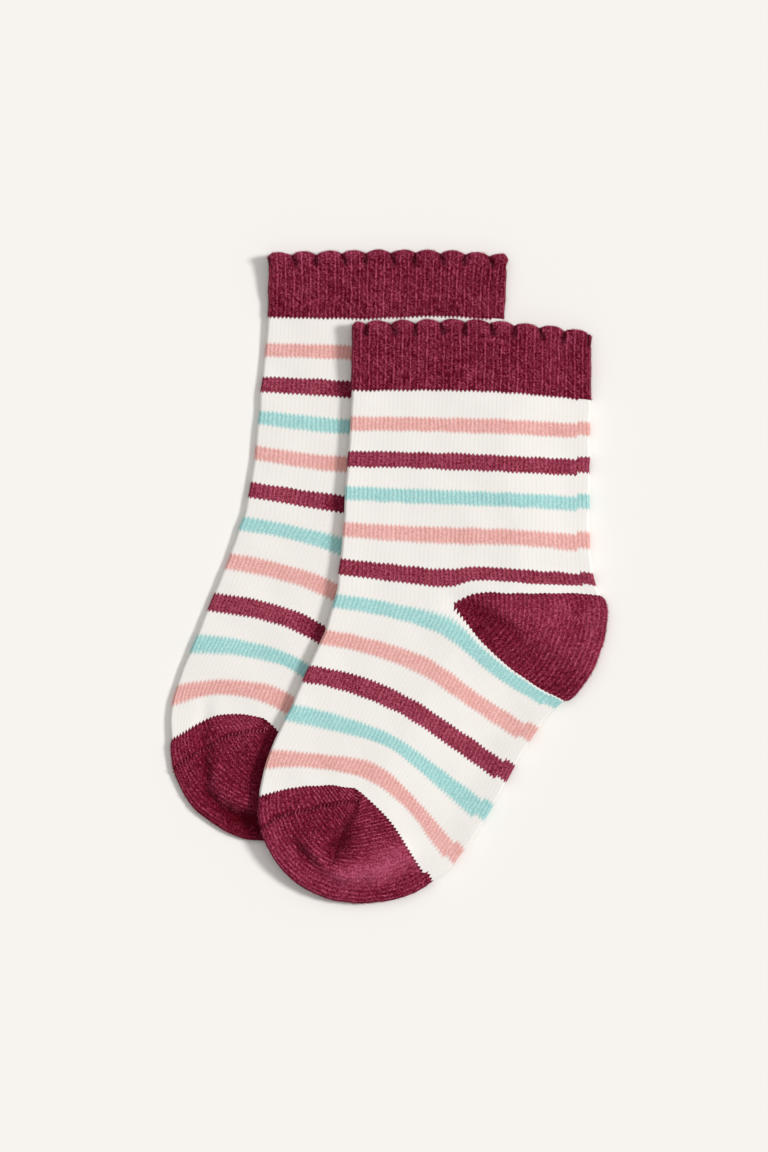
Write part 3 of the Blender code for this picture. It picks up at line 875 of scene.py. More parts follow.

# %% [markdown]
# The stitches of plain knitting come first. The course of a point is bent into a V across the wale, and its
# whole part tells which stitch the point belongs to. Where the twist of the yarn catches the light, a thin
# painted highlight runs up the wale, and at the feet of the Vs small holes are painted dark as shade. All
# widths are shares of a wale or of a course. A pair of numbers is a factor and what is added to the product.

# %% Plain stitches
LEAN = 0.8
RIDGE_POWER = 1.5
YARN_HEIGHT = 0.4
LINE_PACE = 0.7
LINE_WANDER = 0.8
LINE_WIDTH = 0.16
EYE_PLACE = 0.68
EYE_ACROSS = 0.28
EYE_ALONG = 0.3
EYE_CHANCE = (1.5, -0.1)


def plain_stitches():
    """Group: the height of the yarn, its course bent into a V, the light line and dark holes of a wale."""
    tree, start, end = new_group(
        "Plain stitches",
        [("Wale and course", "NodeSocketVector", None), ("Lean", "NodeSocketFloat", LEAN)],
        ["Height", "Bent course", "Stitch", "Line", "Holes"],
    )
    split = node(tree, "ShaderNodeSeparateXYZ", Vector=start.outputs[0])
    wale, course = split.outputs[0], split.outputs[1]
    place = maths(tree, "FRACT", wale)
    away = maths(tree, "ABSOLUTE", maths(tree, "MULTIPLY_ADD", place, 2.0, -1.0))
    bent = maths(tree, "MULTIPLY_ADD", away, start.outputs[1], course)
    row = maths(tree, "FRACT", bent)
    ridge = maths(tree, "POWER", arch(tree, place), RIDGE_POWER)
    yarn = maths(tree, "MULTIPLY_ADD", arch(tree, row), YARN_HEIGHT, 1 - YARN_HEIGHT)
    height = maths(tree, "MULTIPLY", ridge, yarn)
    leg_number = maths(tree, "FLOOR", maths(tree, "MULTIPLY", wale, 2.0))
    cell = node(tree, "ShaderNodeCombineXYZ", X=leg_number, Y=maths(tree, "FLOOR", bent))
    chance = node(tree, "ShaderNodeTexWhiteNoise", Vector=cell.outputs[0]).outputs["Value"]
    aside, strength = wandering(tree, maths(tree, "FLOOR", wale), course, LINE_PACE)
    centre = maths(tree, "MULTIPLY_ADD", aside, LINE_WANDER, maths(tree, "SUBTRACT", place, 0.5))
    line = maths(tree, "MULTIPLY", bell(tree, centre, LINE_WIDTH), strength)
    # The eyes at the feet of the Vs are painted dark as shade.
    beside = bell(tree, maths(tree, "SUBTRACT", away, EYE_PLACE), EYE_ACROSS)
    holes = maths(tree, "MULTIPLY", beside, bell(tree, maths(tree, "SUBTRACT", row, 0.5), EYE_ALONG))
    holes = maths(tree, "MULTIPLY", holes, maths(tree, "MULTIPLY_ADD", chance, *EYE_CHANCE))
    for socket, value in zip(end.inputs, (height, bent, chance, line, holes)):
        tree.links.new(value, socket)
    return tree


PLAIN = plain_stitches()
print(PLAIN.name, len(PLAIN.nodes), "nodes")

# %% [markdown]
# A rib of these cuffs is one wale that stands out as a thin line, and one beside it whose stitches are
# twisted, so that they lie aslant like the strands of a cord. Between line and cord the cloth folds into a
# groove. The line and the slanting strokes of the cord are painted highlights, and the groove and the gaps
# between the cord's stitches are painted shade. The same parts as before draw it, counted by pairs of wales.

# %% Ribs
TWIST_SLOPE = 1.5
RIB_PACE = 0.35
RIB_WANDER = 0.35
RIB_WIDTH = 0.2
RIB_LINE_WIDTH = 0.13
RIB_STRENGTH = (0.7, 0.25)
CORD_WIDTH = 0.5
CORD_RELIEF = (0.7, 0.1)
STROKE_WIDTH = 0.26
STROKE_CHANCE = (0.8, -0.1)
GROOVE_PLACE = 0.48
GROOVE_WIDTH = 0.2
GROOVE_DEPTH = (0.6, 0.05)
GAP_CONTRAST = (-2.0, 1.5)
GAP_CHANCE = (1.5, 0.4)


def twisted_ribs():
    """Group: a thin raised line on every second wale, a dark groove beside it, and slanting stitches."""
    tree, start, end = new_group(
        "Twisted ribs", [("Wale and course", "NodeSocketVector", None)], ["Height", "Stitch", "Line", "Holes"]
    )
    split = node(tree, "ShaderNodeSeparateXYZ", Vector=start.outputs[0])
    wale, course = split.outputs[0], split.outputs[1]
    pair = maths(tree, "MULTIPLY", wale, 0.5)
    across = maths(tree, "MULTIPLY_ADD", maths(tree, "FRACT", pair), 2.0, -1.0)
    aside, strength = wandering(tree, maths(tree, "FLOOR", pair), course, RIB_PACE)
    across = maths(tree, "MULTIPLY_ADD", aside, RIB_WANDER, across)
    away = maths(tree, "ABSOLUTE", across)
    from_cord = maths(tree, "SUBTRACT", 1.0, away)
    between = bell(tree, from_cord, CORD_WIDTH)
    twist = maths(tree, "MULTIPLY_ADD", wale, -TWIST_SLOPE, course)
    marks = arch(tree, maths(tree, "FRACT", twist))
    raised = maths(tree, "MULTIPLY", between, maths(tree, "MULTIPLY_ADD", marks, *CORD_RELIEF))
    height = maths(tree, "ADD", bell(tree, across, RIB_WIDTH), raised)
    cell = node(tree, "ShaderNodeCombineXYZ", X=maths(tree, "FLOOR", wale), Y=maths(tree, "FLOOR", twist))
    chance = node(tree, "ShaderNodeTexWhiteNoise", Vector=cell.outputs[0]).outputs["Value"]
    strength = maths(tree, "MULTIPLY_ADD", strength, *RIB_STRENGTH)
    # Painted highlights: the thin line on each rib, and light strokes on the cord's slanting stitches.
    line = maths(tree, "MULTIPLY", bell(tree, across, RIB_LINE_WIDTH), strength)
    strokes = maths(tree, "MULTIPLY", bell(tree, from_cord, STROKE_WIDTH), marks)
    line = maths(tree, "MULTIPLY_ADD", strokes, maths(tree, "MULTIPLY_ADD", chance, *STROKE_CHANCE), line)
    # Painted shade: the groove beside each rib, and the gaps between the cord's stitches.
    deep = maths(tree, "MULTIPLY_ADD", arch(tree, maths(tree, "FRACT", course)), *GROOVE_DEPTH)
    groove = bell(tree, maths(tree, "SUBTRACT", away, GROOVE_PLACE), GROOVE_WIDTH)
    groove = maths(tree, "MULTIPLY", groove, deep)
    gaps = clamped(tree, maths(tree, "MULTIPLY_ADD", marks, *GAP_CONTRAST))
    gaps = maths(tree, "MULTIPLY", between, gaps)
    gaps = maths(tree, "MULTIPLY", gaps, maths(tree, "MULTIPLY_ADD", chance, *GAP_CHANCE))
    for socket, value in zip(end.inputs, (height, chance, line, maths(tree, "MAXIMUM", groove, gaps))):
        tree.links.new(value, socket)
    return tree


RIBS = twisted_ribs()
print(RIBS.name, len(RIBS.nodes), "nodes")

# %% [markdown]
# One number says how light the cotton is at a point, from 0 to 1, and a material turns it into a colour. It
# starts at a base, and everything that shows adds to it or takes away: the painted highlight of the line
# and the painted shade of the holes of the stitches, a chance for each stitch, painted shade from the height
# of the yarn, streaks along the yarn, single fibres, cloudy dye, the bloom of rubbed yarn, and painted light
# and shade. Deep in dents, grooves and holes little light arrives, so there the number shrinks as painted
# shade.

# %% Cotton yarn
PARTS = ("Base", "Fluff", "Height", "Stitch", "Line", "Holes", "Hollow", "Worn")
STREAK_SCALE = (1.1, 0.2, 1.0)
FIBRE_SCALE = 1900.0
CLOUD_SCALE = 130.0
LINE_LIGHT = 0.45
HOLE_LIGHT = -0.42
STITCH_LIGHT = 0.3
HEIGHT_LIGHT = 0.08
WEARSHADING_LIGHT = 0.25
WEARSHADING_CRISPNESS = -0.7
STREAK_LIGHT = 0.3
CLOUD_LIGHT = 0.4


def cotton_yarn():
    """Group: lightness of cotton from stitches, streaks, fibres, rubbing, and painted light and shade."""
    tree, start, end = new_group(
        "Cotton yarn",
        [("Wale and course", "NodeSocketVector", None), *((name, "NodeSocketFloat", None) for name in PARTS)],
        ["Light", "Fibres"],
    )
    place = node(tree, "ShaderNodeTexCoord").outputs["Object"]
    long_way = node(tree, "ShaderNodeVectorMath", i0=start.outputs[0])
    long_way.operation = "MULTIPLY"
    long_way.inputs[1].default_value = STREAK_SCALE
    streaks = node(tree, "ShaderNodeTexNoise", Vector=long_way.outputs[0], Scale=1.0, Detail=2.0)
    fibres = node(tree, "ShaderNodeTexNoise", Vector=place, Scale=FIBRE_SCALE, Detail=2.0, Roughness=0.7)
    clouds = node(tree, "ShaderNodeTexNoise", Vector=place, Scale=CLOUD_SCALE, Detail=2.0)
    # Rubbed yarn, and yarn painted lighter or darker, shows its stitches less crisply.
    worn = clamped(tree, maths(tree, "ABSOLUTE", start.outputs["Worn"]))
    crisp = maths(tree, "MULTIPLY_ADD", worn, WEARSHADING_CRISPNESS, 1.0)
    detail = maths(tree, "MULTIPLY", start.outputs["Line"], LINE_LIGHT)
    detail = maths(tree, "MULTIPLY_ADD", start.outputs["Holes"], HOLE_LIGHT, detail)
    # A chance for each stitch, and painted shade from the height: yarn that stands high is painted lighter.
    for socket, share in (("Stitch", STITCH_LIGHT), ("Height", HEIGHT_LIGHT)):
        from_middle = maths(tree, "SUBTRACT", start.outputs[socket], 0.5)
        detail = maths(tree, "MULTIPLY_ADD", from_middle, share, detail)
    light = maths(tree, "MULTIPLY_ADD", detail, crisp, start.outputs["Base"])
    # Painted light and shade, with the bloom of rubbed yarn: lighter above 0, darker below.
    light = maths(tree, "MULTIPLY_ADD", start.outputs["Worn"], WEARSHADING_LIGHT, light)
    for noise, share in ((streaks, STREAK_LIGHT), (fibres, start.outputs["Fluff"]), (clouds, CLOUD_LIGHT)):
        light = maths(tree, "MULTIPLY_ADD", maths(tree, "SUBTRACT", noise.outputs[0], 0.5), share, light)
    # Painted shade in dents, grooves and holes.
    light = maths(tree, "MULTIPLY", light, maths(tree, "SUBTRACT", 1.0, start.outputs["Hollow"]))
    tree.links.new(clamped(tree, light), end.inputs[0])
    tree.links.new(fibres.outputs[0], end.inputs[1])
    return tree


YARN = cotton_yarn()
print(YARN.name, len(YARN.nodes), "nodes")

# %% [markdown]
# Every knitted material begins alike. Cotton is rough and barely shines. The UV pair of each shell holds the
# wale and the course, and two more values are kept for each point: how much painted shade it gets in dents,
# grooves and holes, and how much it is painted lighter or darker for light and shade, or lightened by
# rubbing. The heights of stitches and fibres end in a bump.

# %% Knit material
BUMP_DEPTH = 0.12 * MM
FIBRE_BUMP = 0.15


def knit_material(name):
    """A cotton material with its tree, its shader, and the wale and course of the point shaded."""
    material = bpy.data.materials.new(name)
    material.use_nodes = True
    shader = material.node_tree.nodes["Principled BSDF"]
    shader.inputs["Roughness"].default_value = 0.92
    shader.inputs["Specular IOR Level"].default_value = 0.05
    shader.inputs["Sheen Weight"].default_value = 0.02
    shader.inputs["Sheen Roughness"].default_value = 0.6
    uv = node(material.node_tree, "ShaderNodeUVMap")
    uv.uv_map = "wale_course"
    return material, material.node_tree, shader, uv.outputs[0]


def place_yarn(tree, place, stitches, base, fluff, lines=1.0):
    """The cotton group, fed by a group of stitches and by the values that each shell keeps for its points."""
    kept = {}
    # Kept on each point: painted shade in dents and holes, and rubbing with painted light and shade.
    for name in ("hollow", "worn"):
        attribute = tree.nodes.new("ShaderNodeAttribute")
        attribute.attribute_name = name
        kept[name.capitalize()] = attribute.outputs["Fac"]
    shown = {name: stitches.outputs[name] for name in ("Height", "Stitch", "Line", "Holes")}
    shown["Line"] = maths(tree, "MULTIPLY", shown["Line"], lines)
    return place_group(tree, YARN, Wale_and_course=place, Base=base, Fluff=fluff, **shown, **kept)


def raise_yarn(tree, shader, height, fibres):
    """Bump from the height of the stitches and the fibres on them."""
    total = maths(tree, "MULTIPLY_ADD", fibres, FIBRE_BUMP, height)
    bump = node(tree, "ShaderNodeBump", Distance=BUMP_DEPTH, Height=total)
    tree.links.new(bump.outputs[0], shader.inputs["Normal"])


print("bump", round(BUMP_DEPTH / MM, 2), "mm")

# %% [markdown]
# Dyed cotton changes its hue a little from dark to light, so each colour is a dark and a light shade, and
# maroon one between them as well. Heel, toe and cuff are the same yarn, knitted in two ways, so one function
# makes both materials.

# %% Colours and maroon cotton
MAROON = ((0.07, 0.0, 0.005, 1.0), (0.20, 0.012, 0.036, 1.0), (0.46, 0.088, 0.16, 1.0))
STRIPE_MAROON = ((0.14, 0.006, 0.022, 1.0), (0.51, 0.105, 0.17, 1.0))
PINK = ((0.67, 0.32, 0.29, 1.0), (0.91, 0.55, 0.53, 1.0))
TEAL = ((0.28, 0.55, 0.54, 1.0), (0.50, 0.77, 0.76, 1.0))
WHITE = ((0.795, 0.768, 0.737, 1.0), (0.84, 0.812, 0.782, 1.0))
MAROON_MIDDLE = 0.4


def maroon_of(tree, light):
    """Maroon from dark through middle to light: the lightest fibres are paler as well as brighter."""
    ramp = node(tree, "ShaderNodeValToRGB", Fac=light)
    band = ramp.color_ramp
    band.elements.new(MAROON_MIDDLE)
    for stop, colour in zip(band.elements, MAROON):
        stop.color = colour
    return ramp.outputs[0]


def maroon_cotton(name, group, base, fluff):
    """A maroon material with one kind of stitches, this light at its base and this fluffy."""
    material, tree, shader, place = knit_material(name)
    stitches = place_group(tree, group, Wale_and_course=place)
    yarn = place_yarn(tree, place, stitches, base, fluff)
    plug(tree, shader.inputs["Base Color"], maroon_of(tree, yarn.outputs["Light"]))
    raise_yarn(tree, shader, stitches.outputs["Height"], yarn.outputs["Fibres"])
    return material


maroon_plain = maroon_cotton("maroon_cotton_plain", PLAIN, base=0.36, fluff=2.1)
maroon_ribbed = maroon_cotton("maroon_cotton_ribbed", RIBS, base=0.37, fluff=2.7)
print(maroon_plain.name, maroon_ribbed.name)

# %% [markdown]
# The machine changes yarn every few courses: pink, white, maroon, white, teal, white, and again from the
# start. Each stripe could be a piece or a material of its own, but a ramp that holds one repeat is shorter.
# The bent course reads it, so each colour change gets the teeth of the Vs. The knitting of cuff, heel and
# toe begins in the middle of a V too, so there the striped piece shows a few maroon teeth of its own. The
# ramp is read twice, for the dark and for the light shade.

# %% Stripes, for leg and foot
# First course, last course, colour, and half the width of the change
STRIPES = ((0.0, 5.15, PINK, 0.5), (13.05, 18.7, STRIPE_MAROON, 0.12), (25.9, 30.85, TEAL, 0.5))
FIRST_STRIPE = 10.35
REPEAT = 39
WHITE_RELIEF = 0.12
AHEAD = 0.5
CUFF_TEETH = 1.0
STRIPE_BASE = 0.38
STRIPE_FLUFF = 2.2
STRIPE_LINES = 0.4


def stripe_ramp(tree, phase, index):
    """Colours along one repeat of the stripes. The alpha of each says how deep its stitches look."""
    ramp = node(tree, "ShaderNodeValToRGB", Fac=phase)
    band = ramp.color_ramp
    white = (*WHITE[index][:3], WHITE_RELIEF)
    for first, last, colour, blur in STRIPES:
        yarn = (*colour[index][:3], 1.0)
        stops = ((first - blur, white), (first + blur, yarn), (last - blur, yarn), (last + blur, white))
        for course, shade in stops:
            at = (course + AHEAD) / REPEAT
            stop = band.elements.new(at) if at > 0 else band.elements[0]
            stop.color = shade
    band.elements[-1].color = white
    return ramp


striped, tree, shader, place = knit_material("striped_cotton")
stitches = place_group(tree, PLAIN, Wale_and_course=place)
bent = stitches.outputs["Bent course"]
wale = node(tree, "ShaderNodeSeparateXYZ", Vector=place).outputs[0]
below = maths(tree, "MAXIMUM", maths(tree, "SUBTRACT", bent, FIRST_STRIPE - AHEAD), -1.0)
phase = maths(tree, "DIVIDE", maths(tree, "FLOORED_MODULO", below, REPEAT), REPEAT)
dark, light = stripe_ramp(tree, phase, 0), stripe_ramp(tree, phase, 1)
yarn = place_yarn(tree, place, stitches, STRIPE_BASE, STRIPE_FLUFF, STRIPE_LINES)
stripes = blend_colours(tree, yarn.outputs["Light"], dark.outputs[0], light.outputs[0])
maroon = maroon_of(tree, yarn.outputs["Light"])
on_back = maths(tree, "COMPARE", wale, ACROSS, ACROSS - SIDE_WALE)
at_heel = maths(tree, "MULTIPLY", maths(tree, "COMPARE", bent, HEEL_COURSE + LEAN / 2, LEAN / 2), on_back)
long_teeth = place_group(tree, PLAIN, Wale_and_course=place, Lean=CUFF_TEETH).outputs["Bent course"]
at_cuff = maths(tree, "LESS_THAN", long_teeth, CUFF_COURSE + CUFF_TEETH)
at_toe = maths(tree, "GREATER_THAN", bent, TOE_COURSE)
teeth = maths(tree, "MAXIMUM", at_heel, maths(tree, "MAXIMUM", at_cuff, at_toe))
plug(tree, shader.inputs["Base Color"], blend_colours(tree, teeth, stripes, maroon))
relief = maths(tree, "MAXIMUM", light.outputs["Alpha"], teeth)
raise_yarn(tree, shader, maths(tree, "MULTIPLY", stitches.outputs["Height"], relief), yarn.outputs["Fibres"])
print(striped.name, len(tree.nodes), "nodes")

# %% [markdown]
# ## From grids to shells
#
# Each stretch is a grid of points: its columns run along the wales and its rows along the courses. The
# grids are joined where they share points. A plain form with a thickness and subdivisions added would be
# quicker to model, but here every corner has to know its wale and its course. It keeps them as a UV pair, so
# a material can count stitches. Two more values say how much painted shade a point gets in dents, grooves
# and holes, and how much it is painted lighter or darker for light and shade, or lightened by rubbing.

# %% A mesh of four-sided faces
MERGE = 1e-6


def quad_mesh(name, points, faces, uvs, kept):
    """A smooth mesh that keeps a UV pair at its corners and named values at its points."""
    mesh = bpy.data.meshes.new(name)
    mesh.vertices.add(len(points))
    mesh.vertices.foreach_set("co", points.astype(np.float32).ravel())
    mesh.loops.add(faces.size)
    mesh.loops.foreach_set("vertex_index", faces.astype(np.int32).ravel())
    mesh.polygons.add(len(faces))
    mesh.polygons.foreach_set("loop_start", np.arange(0, faces.size, 4, dtype=np.int32))
    mesh.update(calc_edges=True)
    layer = mesh.uv_layers.new(name="wale_course")
    layer.data.foreach_set("uv", uvs[faces.ravel()].astype(np.float32).ravel())
    for kind, values in kept.items():
        mesh.attributes.new(kind, "FLOAT", "POINT").data.foreach_set("value", values.astype(np.float32))
    merged = bmesh.new()
    merged.from_mesh(mesh)
    bmesh.ops.remove_doubles(merged, verts=merged.verts, dist=MERGE)
    merged.to_mesh(mesh)
    merged.free()
    mesh.shade_smooth()
    return mesh


print("points closer than", MERGE, "m are merged")

# %% [markdown]
# A shell collects its grids one by one and becomes a single object at the end. Each grid is a sheet of
# points in rows, and the faces between them follow from the order of the rows.

# %% Shell maker
class Shell:
    """Collects grids of points and turns them into one mesh."""

    def __init__(self):
        self.points, self.uvs, self.faces, self.count = [], [], [], 0
        self.kept = {"hollow": [], "worn": []}

    def add(self, points, wales, courses, hollow, worn, shape, turned=False):
        """One grid, given as flat lists of its points. Shape is its rows and columns."""
        index = np.arange(shape[0] * shape[1]).reshape(shape) + self.count
        corners = (index[:-1, :-1], index[1:, :-1], index[1:, 1:], index[:-1, 1:])
        faces = np.stack([corner.ravel() for corner in corners], axis=1)
        self.faces.append(faces[:, ::-1] if turned else faces)
        self.points.append(points)
        self.uvs.append(np.column_stack((wales, courses)))
        for kind, values in (("hollow", hollow), ("worn", worn)):
            self.kept[kind].append(np.broadcast_to(values, len(points)))
        self.count += shape[0] * shape[1]

    def build(self, name, material):
        """The finished shell as an object with a material."""
        kept = {kind: np.concatenate(values) for kind, values in self.kept.items()}
        points, uvs = np.concatenate(self.points) * MM, np.concatenate(self.uvs)
        mesh = quad_mesh(name, points, np.concatenate(self.faces), uvs, kept)
        mesh.materials.append(material)
        shell = bpy.data.objects.new(name, mesh)
        bpy.context.scene.collection.objects.link(shell)
        print(name, len(mesh.loops) - 2 * len(mesh.polygons), "triangles", mesh.validate())
        return shell


print("a shell keeps", *Shell().kept)

# %% [markdown]
# Every stretch is made twice, once for each sock, and most grids are given by their rows and their columns.
# Two small helpers take care of that.

# %% Grids and pairs
def grid(rows, columns):
    """The row and the column of each point of a grid, as two flat lists."""
    return tuple(values.ravel() for values in np.meshgrid(rows, columns, indexing="ij"))


pieces = {}


def add_pair(stretch, make):
    """Makes one stretch of both socks, under the names that the solids have."""
    for sock in (rear, front):
        pieces[sock.name + "_" + stretch] = make(sock)


print("two socks:", rear.name, front.name)

# %% [markdown]
# ## Leg and foot
#
# The rows of the grid are bent into the same Vs as the stitches, two rows to a course: one along the yarn
# and one along the groove. So the mesh itself carries the stitches, with far fewer faces than displacement
# would need. Where the tube meets cuff, heel or toe the rows straighten, and a narrow lap turns down inside
# so that no gap shows.
#
# Yarn changes happen at one needle near the back fold. The courses there end on the next round, so the
# stripes take a small step, a jog, and drift back to it on the way round.

# %% Relief of plain stitches
TUBE_RELIEF = 0.02
POUCH_RELIEF = 0.1
YARN_RELIEF = 0.3
PRESSED_RELIEF = 0.5
LAP_DEPTH = 0.8
STRAIGHTEN = 1.5
FINE = 0.25
HALF_COURSE = 0.5
TOP_COLUMNS = np.arange(0, ACROSS + FINE / 2, FINE)
UNDER_COLUMNS = np.arange(ACROSS + 1.0, ROUND + 1)


def plain_relief(wale, course):
    """Height of plain stitches, from 0 in the grooves to 1 on the yarn."""
    place = wale % 1
    yarn = np.sin(np.pi * ((course + LEAN * np.abs(2 * place - 1)) % 1))
    return np.sin(np.pi * place) ** RIDGE_POWER * (1 - YARN_RELIEF + YARN_RELIEF * yarn)


print("columns across", len(TOP_COLUMNS), "above and", len(UNDER_COLUMNS), "below")

# %% [markdown]
# Leg and foot are a grid each, and they part at the lips of the heel. At the jog one column is doubled: both
# have the same points, but the courses that they count differ. Two short grids make the laps of the lips.

# %% Leg and foot
JOG_WALE = 56.0
JOG = 1.1
JOG_START = 4.0
LEG_END = HEEL_COURSE - 1e-6


def tube_stretch(shell, sock, rows, columns, jog, lap):
    """A stretch of the tube. Lap marks the rows that are turned down inside."""
    row, wale = grid(rows, columns)
    lapped, jogged = grid(lap, jog)
    back = (wale > SIDE_WALE) & (wale < ROUND - SIDE_WALE)
    away = np.minimum(row - CUFF_COURSE, TOE_COURSE - row)
    away = np.where(back, np.minimum(away, np.abs(row - HEEL_COURSE)), away)
    course = row + LEAN * (0.5 - np.abs(2 * (wale % 1) - 1)) * ease(away / STRAIGHTEN)
    relief = np.where(wale <= ACROSS, plain_relief(wale, course), PRESSED_RELIEF)
    depth = np.where(lapped, LAP_DEPTH, TUBE_RELIEF * (1 - relief))
    points = tube(sock, course, wale, depth)
    jogged = jogged * ease((np.abs(row - HEEL_COURSE) + HALF_COURSE) / JOG_START)
    shell.add(points, wale, course + jogged, 0.0, wear_and_shading(sock, points), (len(rows), len(columns)))


def leg_foot(sock):
    """Leg and foot in one shell, open at both ends and with the slit that the heel fills."""
    split = np.searchsorted(TOP_COLUMNS, JOG_WALE)
    columns = np.concatenate((TOP_COLUMNS[: split + 1], TOP_COLUMNS[split:], UNDER_COLUMNS))
    jog = np.where(np.arange(len(columns)) > split, JOG * (ROUND - columns) / (ROUND - JOG_WALE), 0.0)
    shell = Shell()
    leg = np.append(np.arange(CUFF_COURSE, HEEL_COURSE, HALF_COURSE), LEG_END)
    foot = np.arange(HEEL_COURSE, TOE_COURSE + HALF_COURSE / 2, HALF_COURSE)
    first = np.arange(len(leg) + 1) == 0
    last = np.arange(len(foot) + 1) == len(foot)
    tube_stretch(shell, sock, np.insert(leg, 0, CUFF_COURSE), columns, jog, first)
    tube_stretch(shell, sock, np.append(foot, TOE_COURSE), columns, jog, last)
    on_lip = (columns >= SIDE_WALE) & (columns <= ROUND - SIDE_WALE)
    for course, lap in ((LEG_END, (False, True)), (HEEL_COURSE, (True, False))):
        tube_stretch(shell, sock, np.full(2, course), columns[on_lip], jog[on_lip], np.array(lap))
    return shell.build(sock.name + "_leg_and_foot", striped)


add_pair("leg_foot", leg_foot)

# %% [markdown]
# ## Heel and toe
#
# In a pouch the grid's columns run along the wales from lip to lip, and each is one reach. Its rows are the
# courses, which fan out from the apex. The upper layer has four columns to a wale, because its Vs show, and
# the pressed layer below has one. Along the gore the stitches pull a soft dent into the cloth, and its yarn
# is painted darker as shade.

# %% Pouches
POUCH_WALES = ACROSS - SIDE_WALE
GORE_DENT = 0.35
GORE_SHADE = 0.4
GORE_EASE = 1.5
WEARSHADING_FLAT = 0.8
POUCH_TOP = np.arange(0, POUCH_WALES + FINE / 2, FINE)
POUCH_BELOW = np.arange(POUCH_WALES - 1.0, -0.01, -1.0)
POUCH_REACHES = np.concatenate((POUCH_TOP, POUCH_BELOW)) / POUCH_WALES
IS_BELOW = np.arange(len(POUCH_REACHES)) >= len(POUCH_TOP)


def pouch_stretch(shell, sock, mouth, turn, number, lap, flipped, gore_width, seam=None):
    """A stretch of a pouch. Turn has a row for each course and a column for each reach.

    Number gives each point's wale and course from its reach, turn and length so far."""

    def spread(values):
        return np.broadcast_to(values, turn.shape).ravel()

    share, below = spread(POUCH_REACHES), spread(IS_BELOW)
    far, turned = spread(mouth.line_length(POUCH_REACHES)), turn.ravel()
    wale, course = number(share, turned, far)
    from_gore = np.abs(turned - mouth.corner_share(share)) * far
    gore = hump(from_gore, gore_width) * ease((mouth.rounded - share) / (mouth.rounded - mouth.mitred))
    gore *= ease(turned * far / GORE_EASE) * ease((1 - turned) * far / GORE_EASE)
    worn = wear_and_shading(sock, pouch(sock, mouth, share, turned, below, np.zeros(len(share))))
    relief = np.where(below, PRESSED_RELIEF, plain_relief(wale, course))
    # Stitches flatten where the yarn is rubbed and where it is painted lighter or darker.
    depth = POUCH_RELIEF * (1 - relief) * (1 - WEARSHADING_FLAT * np.clip(np.abs(worn), 0, 1)) + GORE_DENT * gore
    # Painted shade along the dent of the gore, and in the groove and holes of a seam.
    hollow = GORE_SHADE * gore
    if seam is not None:
        sunk, dark = seam(share, turned, far)
        depth, hollow = depth + sunk, np.maximum(hollow, dark)
    depth = np.where(spread(lap[:, None]), LAP_DEPTH, depth)
    points = pouch(sock, mouth, share, turned, below, depth)
    shell.add(points, wale, course, hollow, worn, turn.shape, turned=flipped)


print("reaches in a pouch", len(POUCH_REACHES))

# %% [markdown]
# The rows of a heel run from its upper lip to its lower one, two for each course at the outline. Nearer to
# the apex they close up, just as the courses there are shorter rows of fewer stitches.

# %% Heels
HEEL_GORE_WIDTH = 1.8


def heel_pocket(sock):
    """The heel, with a lap along both lips."""
    mouth, shell = sock.heel, Shell()
    far = mouth.line_length(np.array((1.0,)))[0]
    turns = np.linspace(0, 1, 2 * round(far / COURSE_PITCH) + 1)
    rows = np.concatenate(((0.0,), turns, (1.0,)))
    lap = np.zeros(len(rows), bool)
    lap[[0, -1]] = True

    def number(share, turn, far):
        return SIDE_WALE + POUCH_WALES * share, turn * far / COURSE_PITCH

    turn = np.repeat(rows[:, None], len(POUCH_REACHES), axis=1)
    pouch_stretch(shell, sock, mouth, turn, number, lap, False, HEEL_GORE_WIDTH)
    return shell.build(sock.name + "_heel_pocket", maroon_plain)


add_pair("heel", heel_pocket)

# %% [markdown]
# The toe pouch is knitted like the heel, but its last course is linked to the instep a little way below
# the colour change. So a band of maroon knitting comes first, its wales running on from the instep, and
# then the seam, where the linking yarn pulls the cloth into a low groove with a row of holes beside it.
# Groove and holes are painted dark as shade.

# %% The linked seam
# Reach, and how far past the colour change the seam runs there
SEAM_SHARES = np.array(((0.0, 5.6), (0.1, 6.0), (0.45, 7.0), (0.8, 10.5), (1.0, 13.8)))
SEAM_LIMIT = 0.98
SEAM_SINK = 0.3
SEAM_WIDTH = 0.5
SEAM_SHADE = (0.55, 0.3)
CHAIN_SHIFT = 0.6
CHAIN_WIDTH = 0.45
CHAIN_SWING = (0.6, 0.4)
CHAIN_SHADE = 0.9
TOE_GORE_WIDTH = 0.7


def seam_turn(mouth, share, far):
    """Where the linking seam crosses each line of the toe."""
    width = np.interp(share, SEAM_SHARES[:, 0], SEAM_SHARES[:, 1])
    return np.minimum(width / np.maximum(far, TINY), mouth.corner_share(share) * SEAM_LIMIT)


def linking(mouth, share, turn, far):
    """How far the cloth is sunk beside the seam, and how much painted shade its groove and holes get."""
    past = (turn - seam_turn(mouth, share, far)) * far
    loops = np.cos(2 * np.pi * SIDE_WALE * (1 - share))
    holes = hump(past + CHAIN_SHIFT, CHAIN_WIDTH) * (CHAIN_SWING[0] - CHAIN_SWING[1] * loops)
    groove = hump(past, SEAM_WIDTH)
    # Painted shade in the holes beside the seam and in its groove.
    dark = np.maximum(CHAIN_SHADE * holes, (SEAM_SHADE[0] - SEAM_SHADE[1] * share) * groove)
    return SEAM_SINK * groove, dark


print("the seam runs", SEAM_SHARES[0, 1], "to", SEAM_SHARES[-1, 1], "mm past the colour change")

# %% [markdown]
# So the toe is two grids that share the line of the seam: the band, which still counts wales and courses as
# the instep does, and the rest, which counts them from the sole's side, since it was knitted from there.

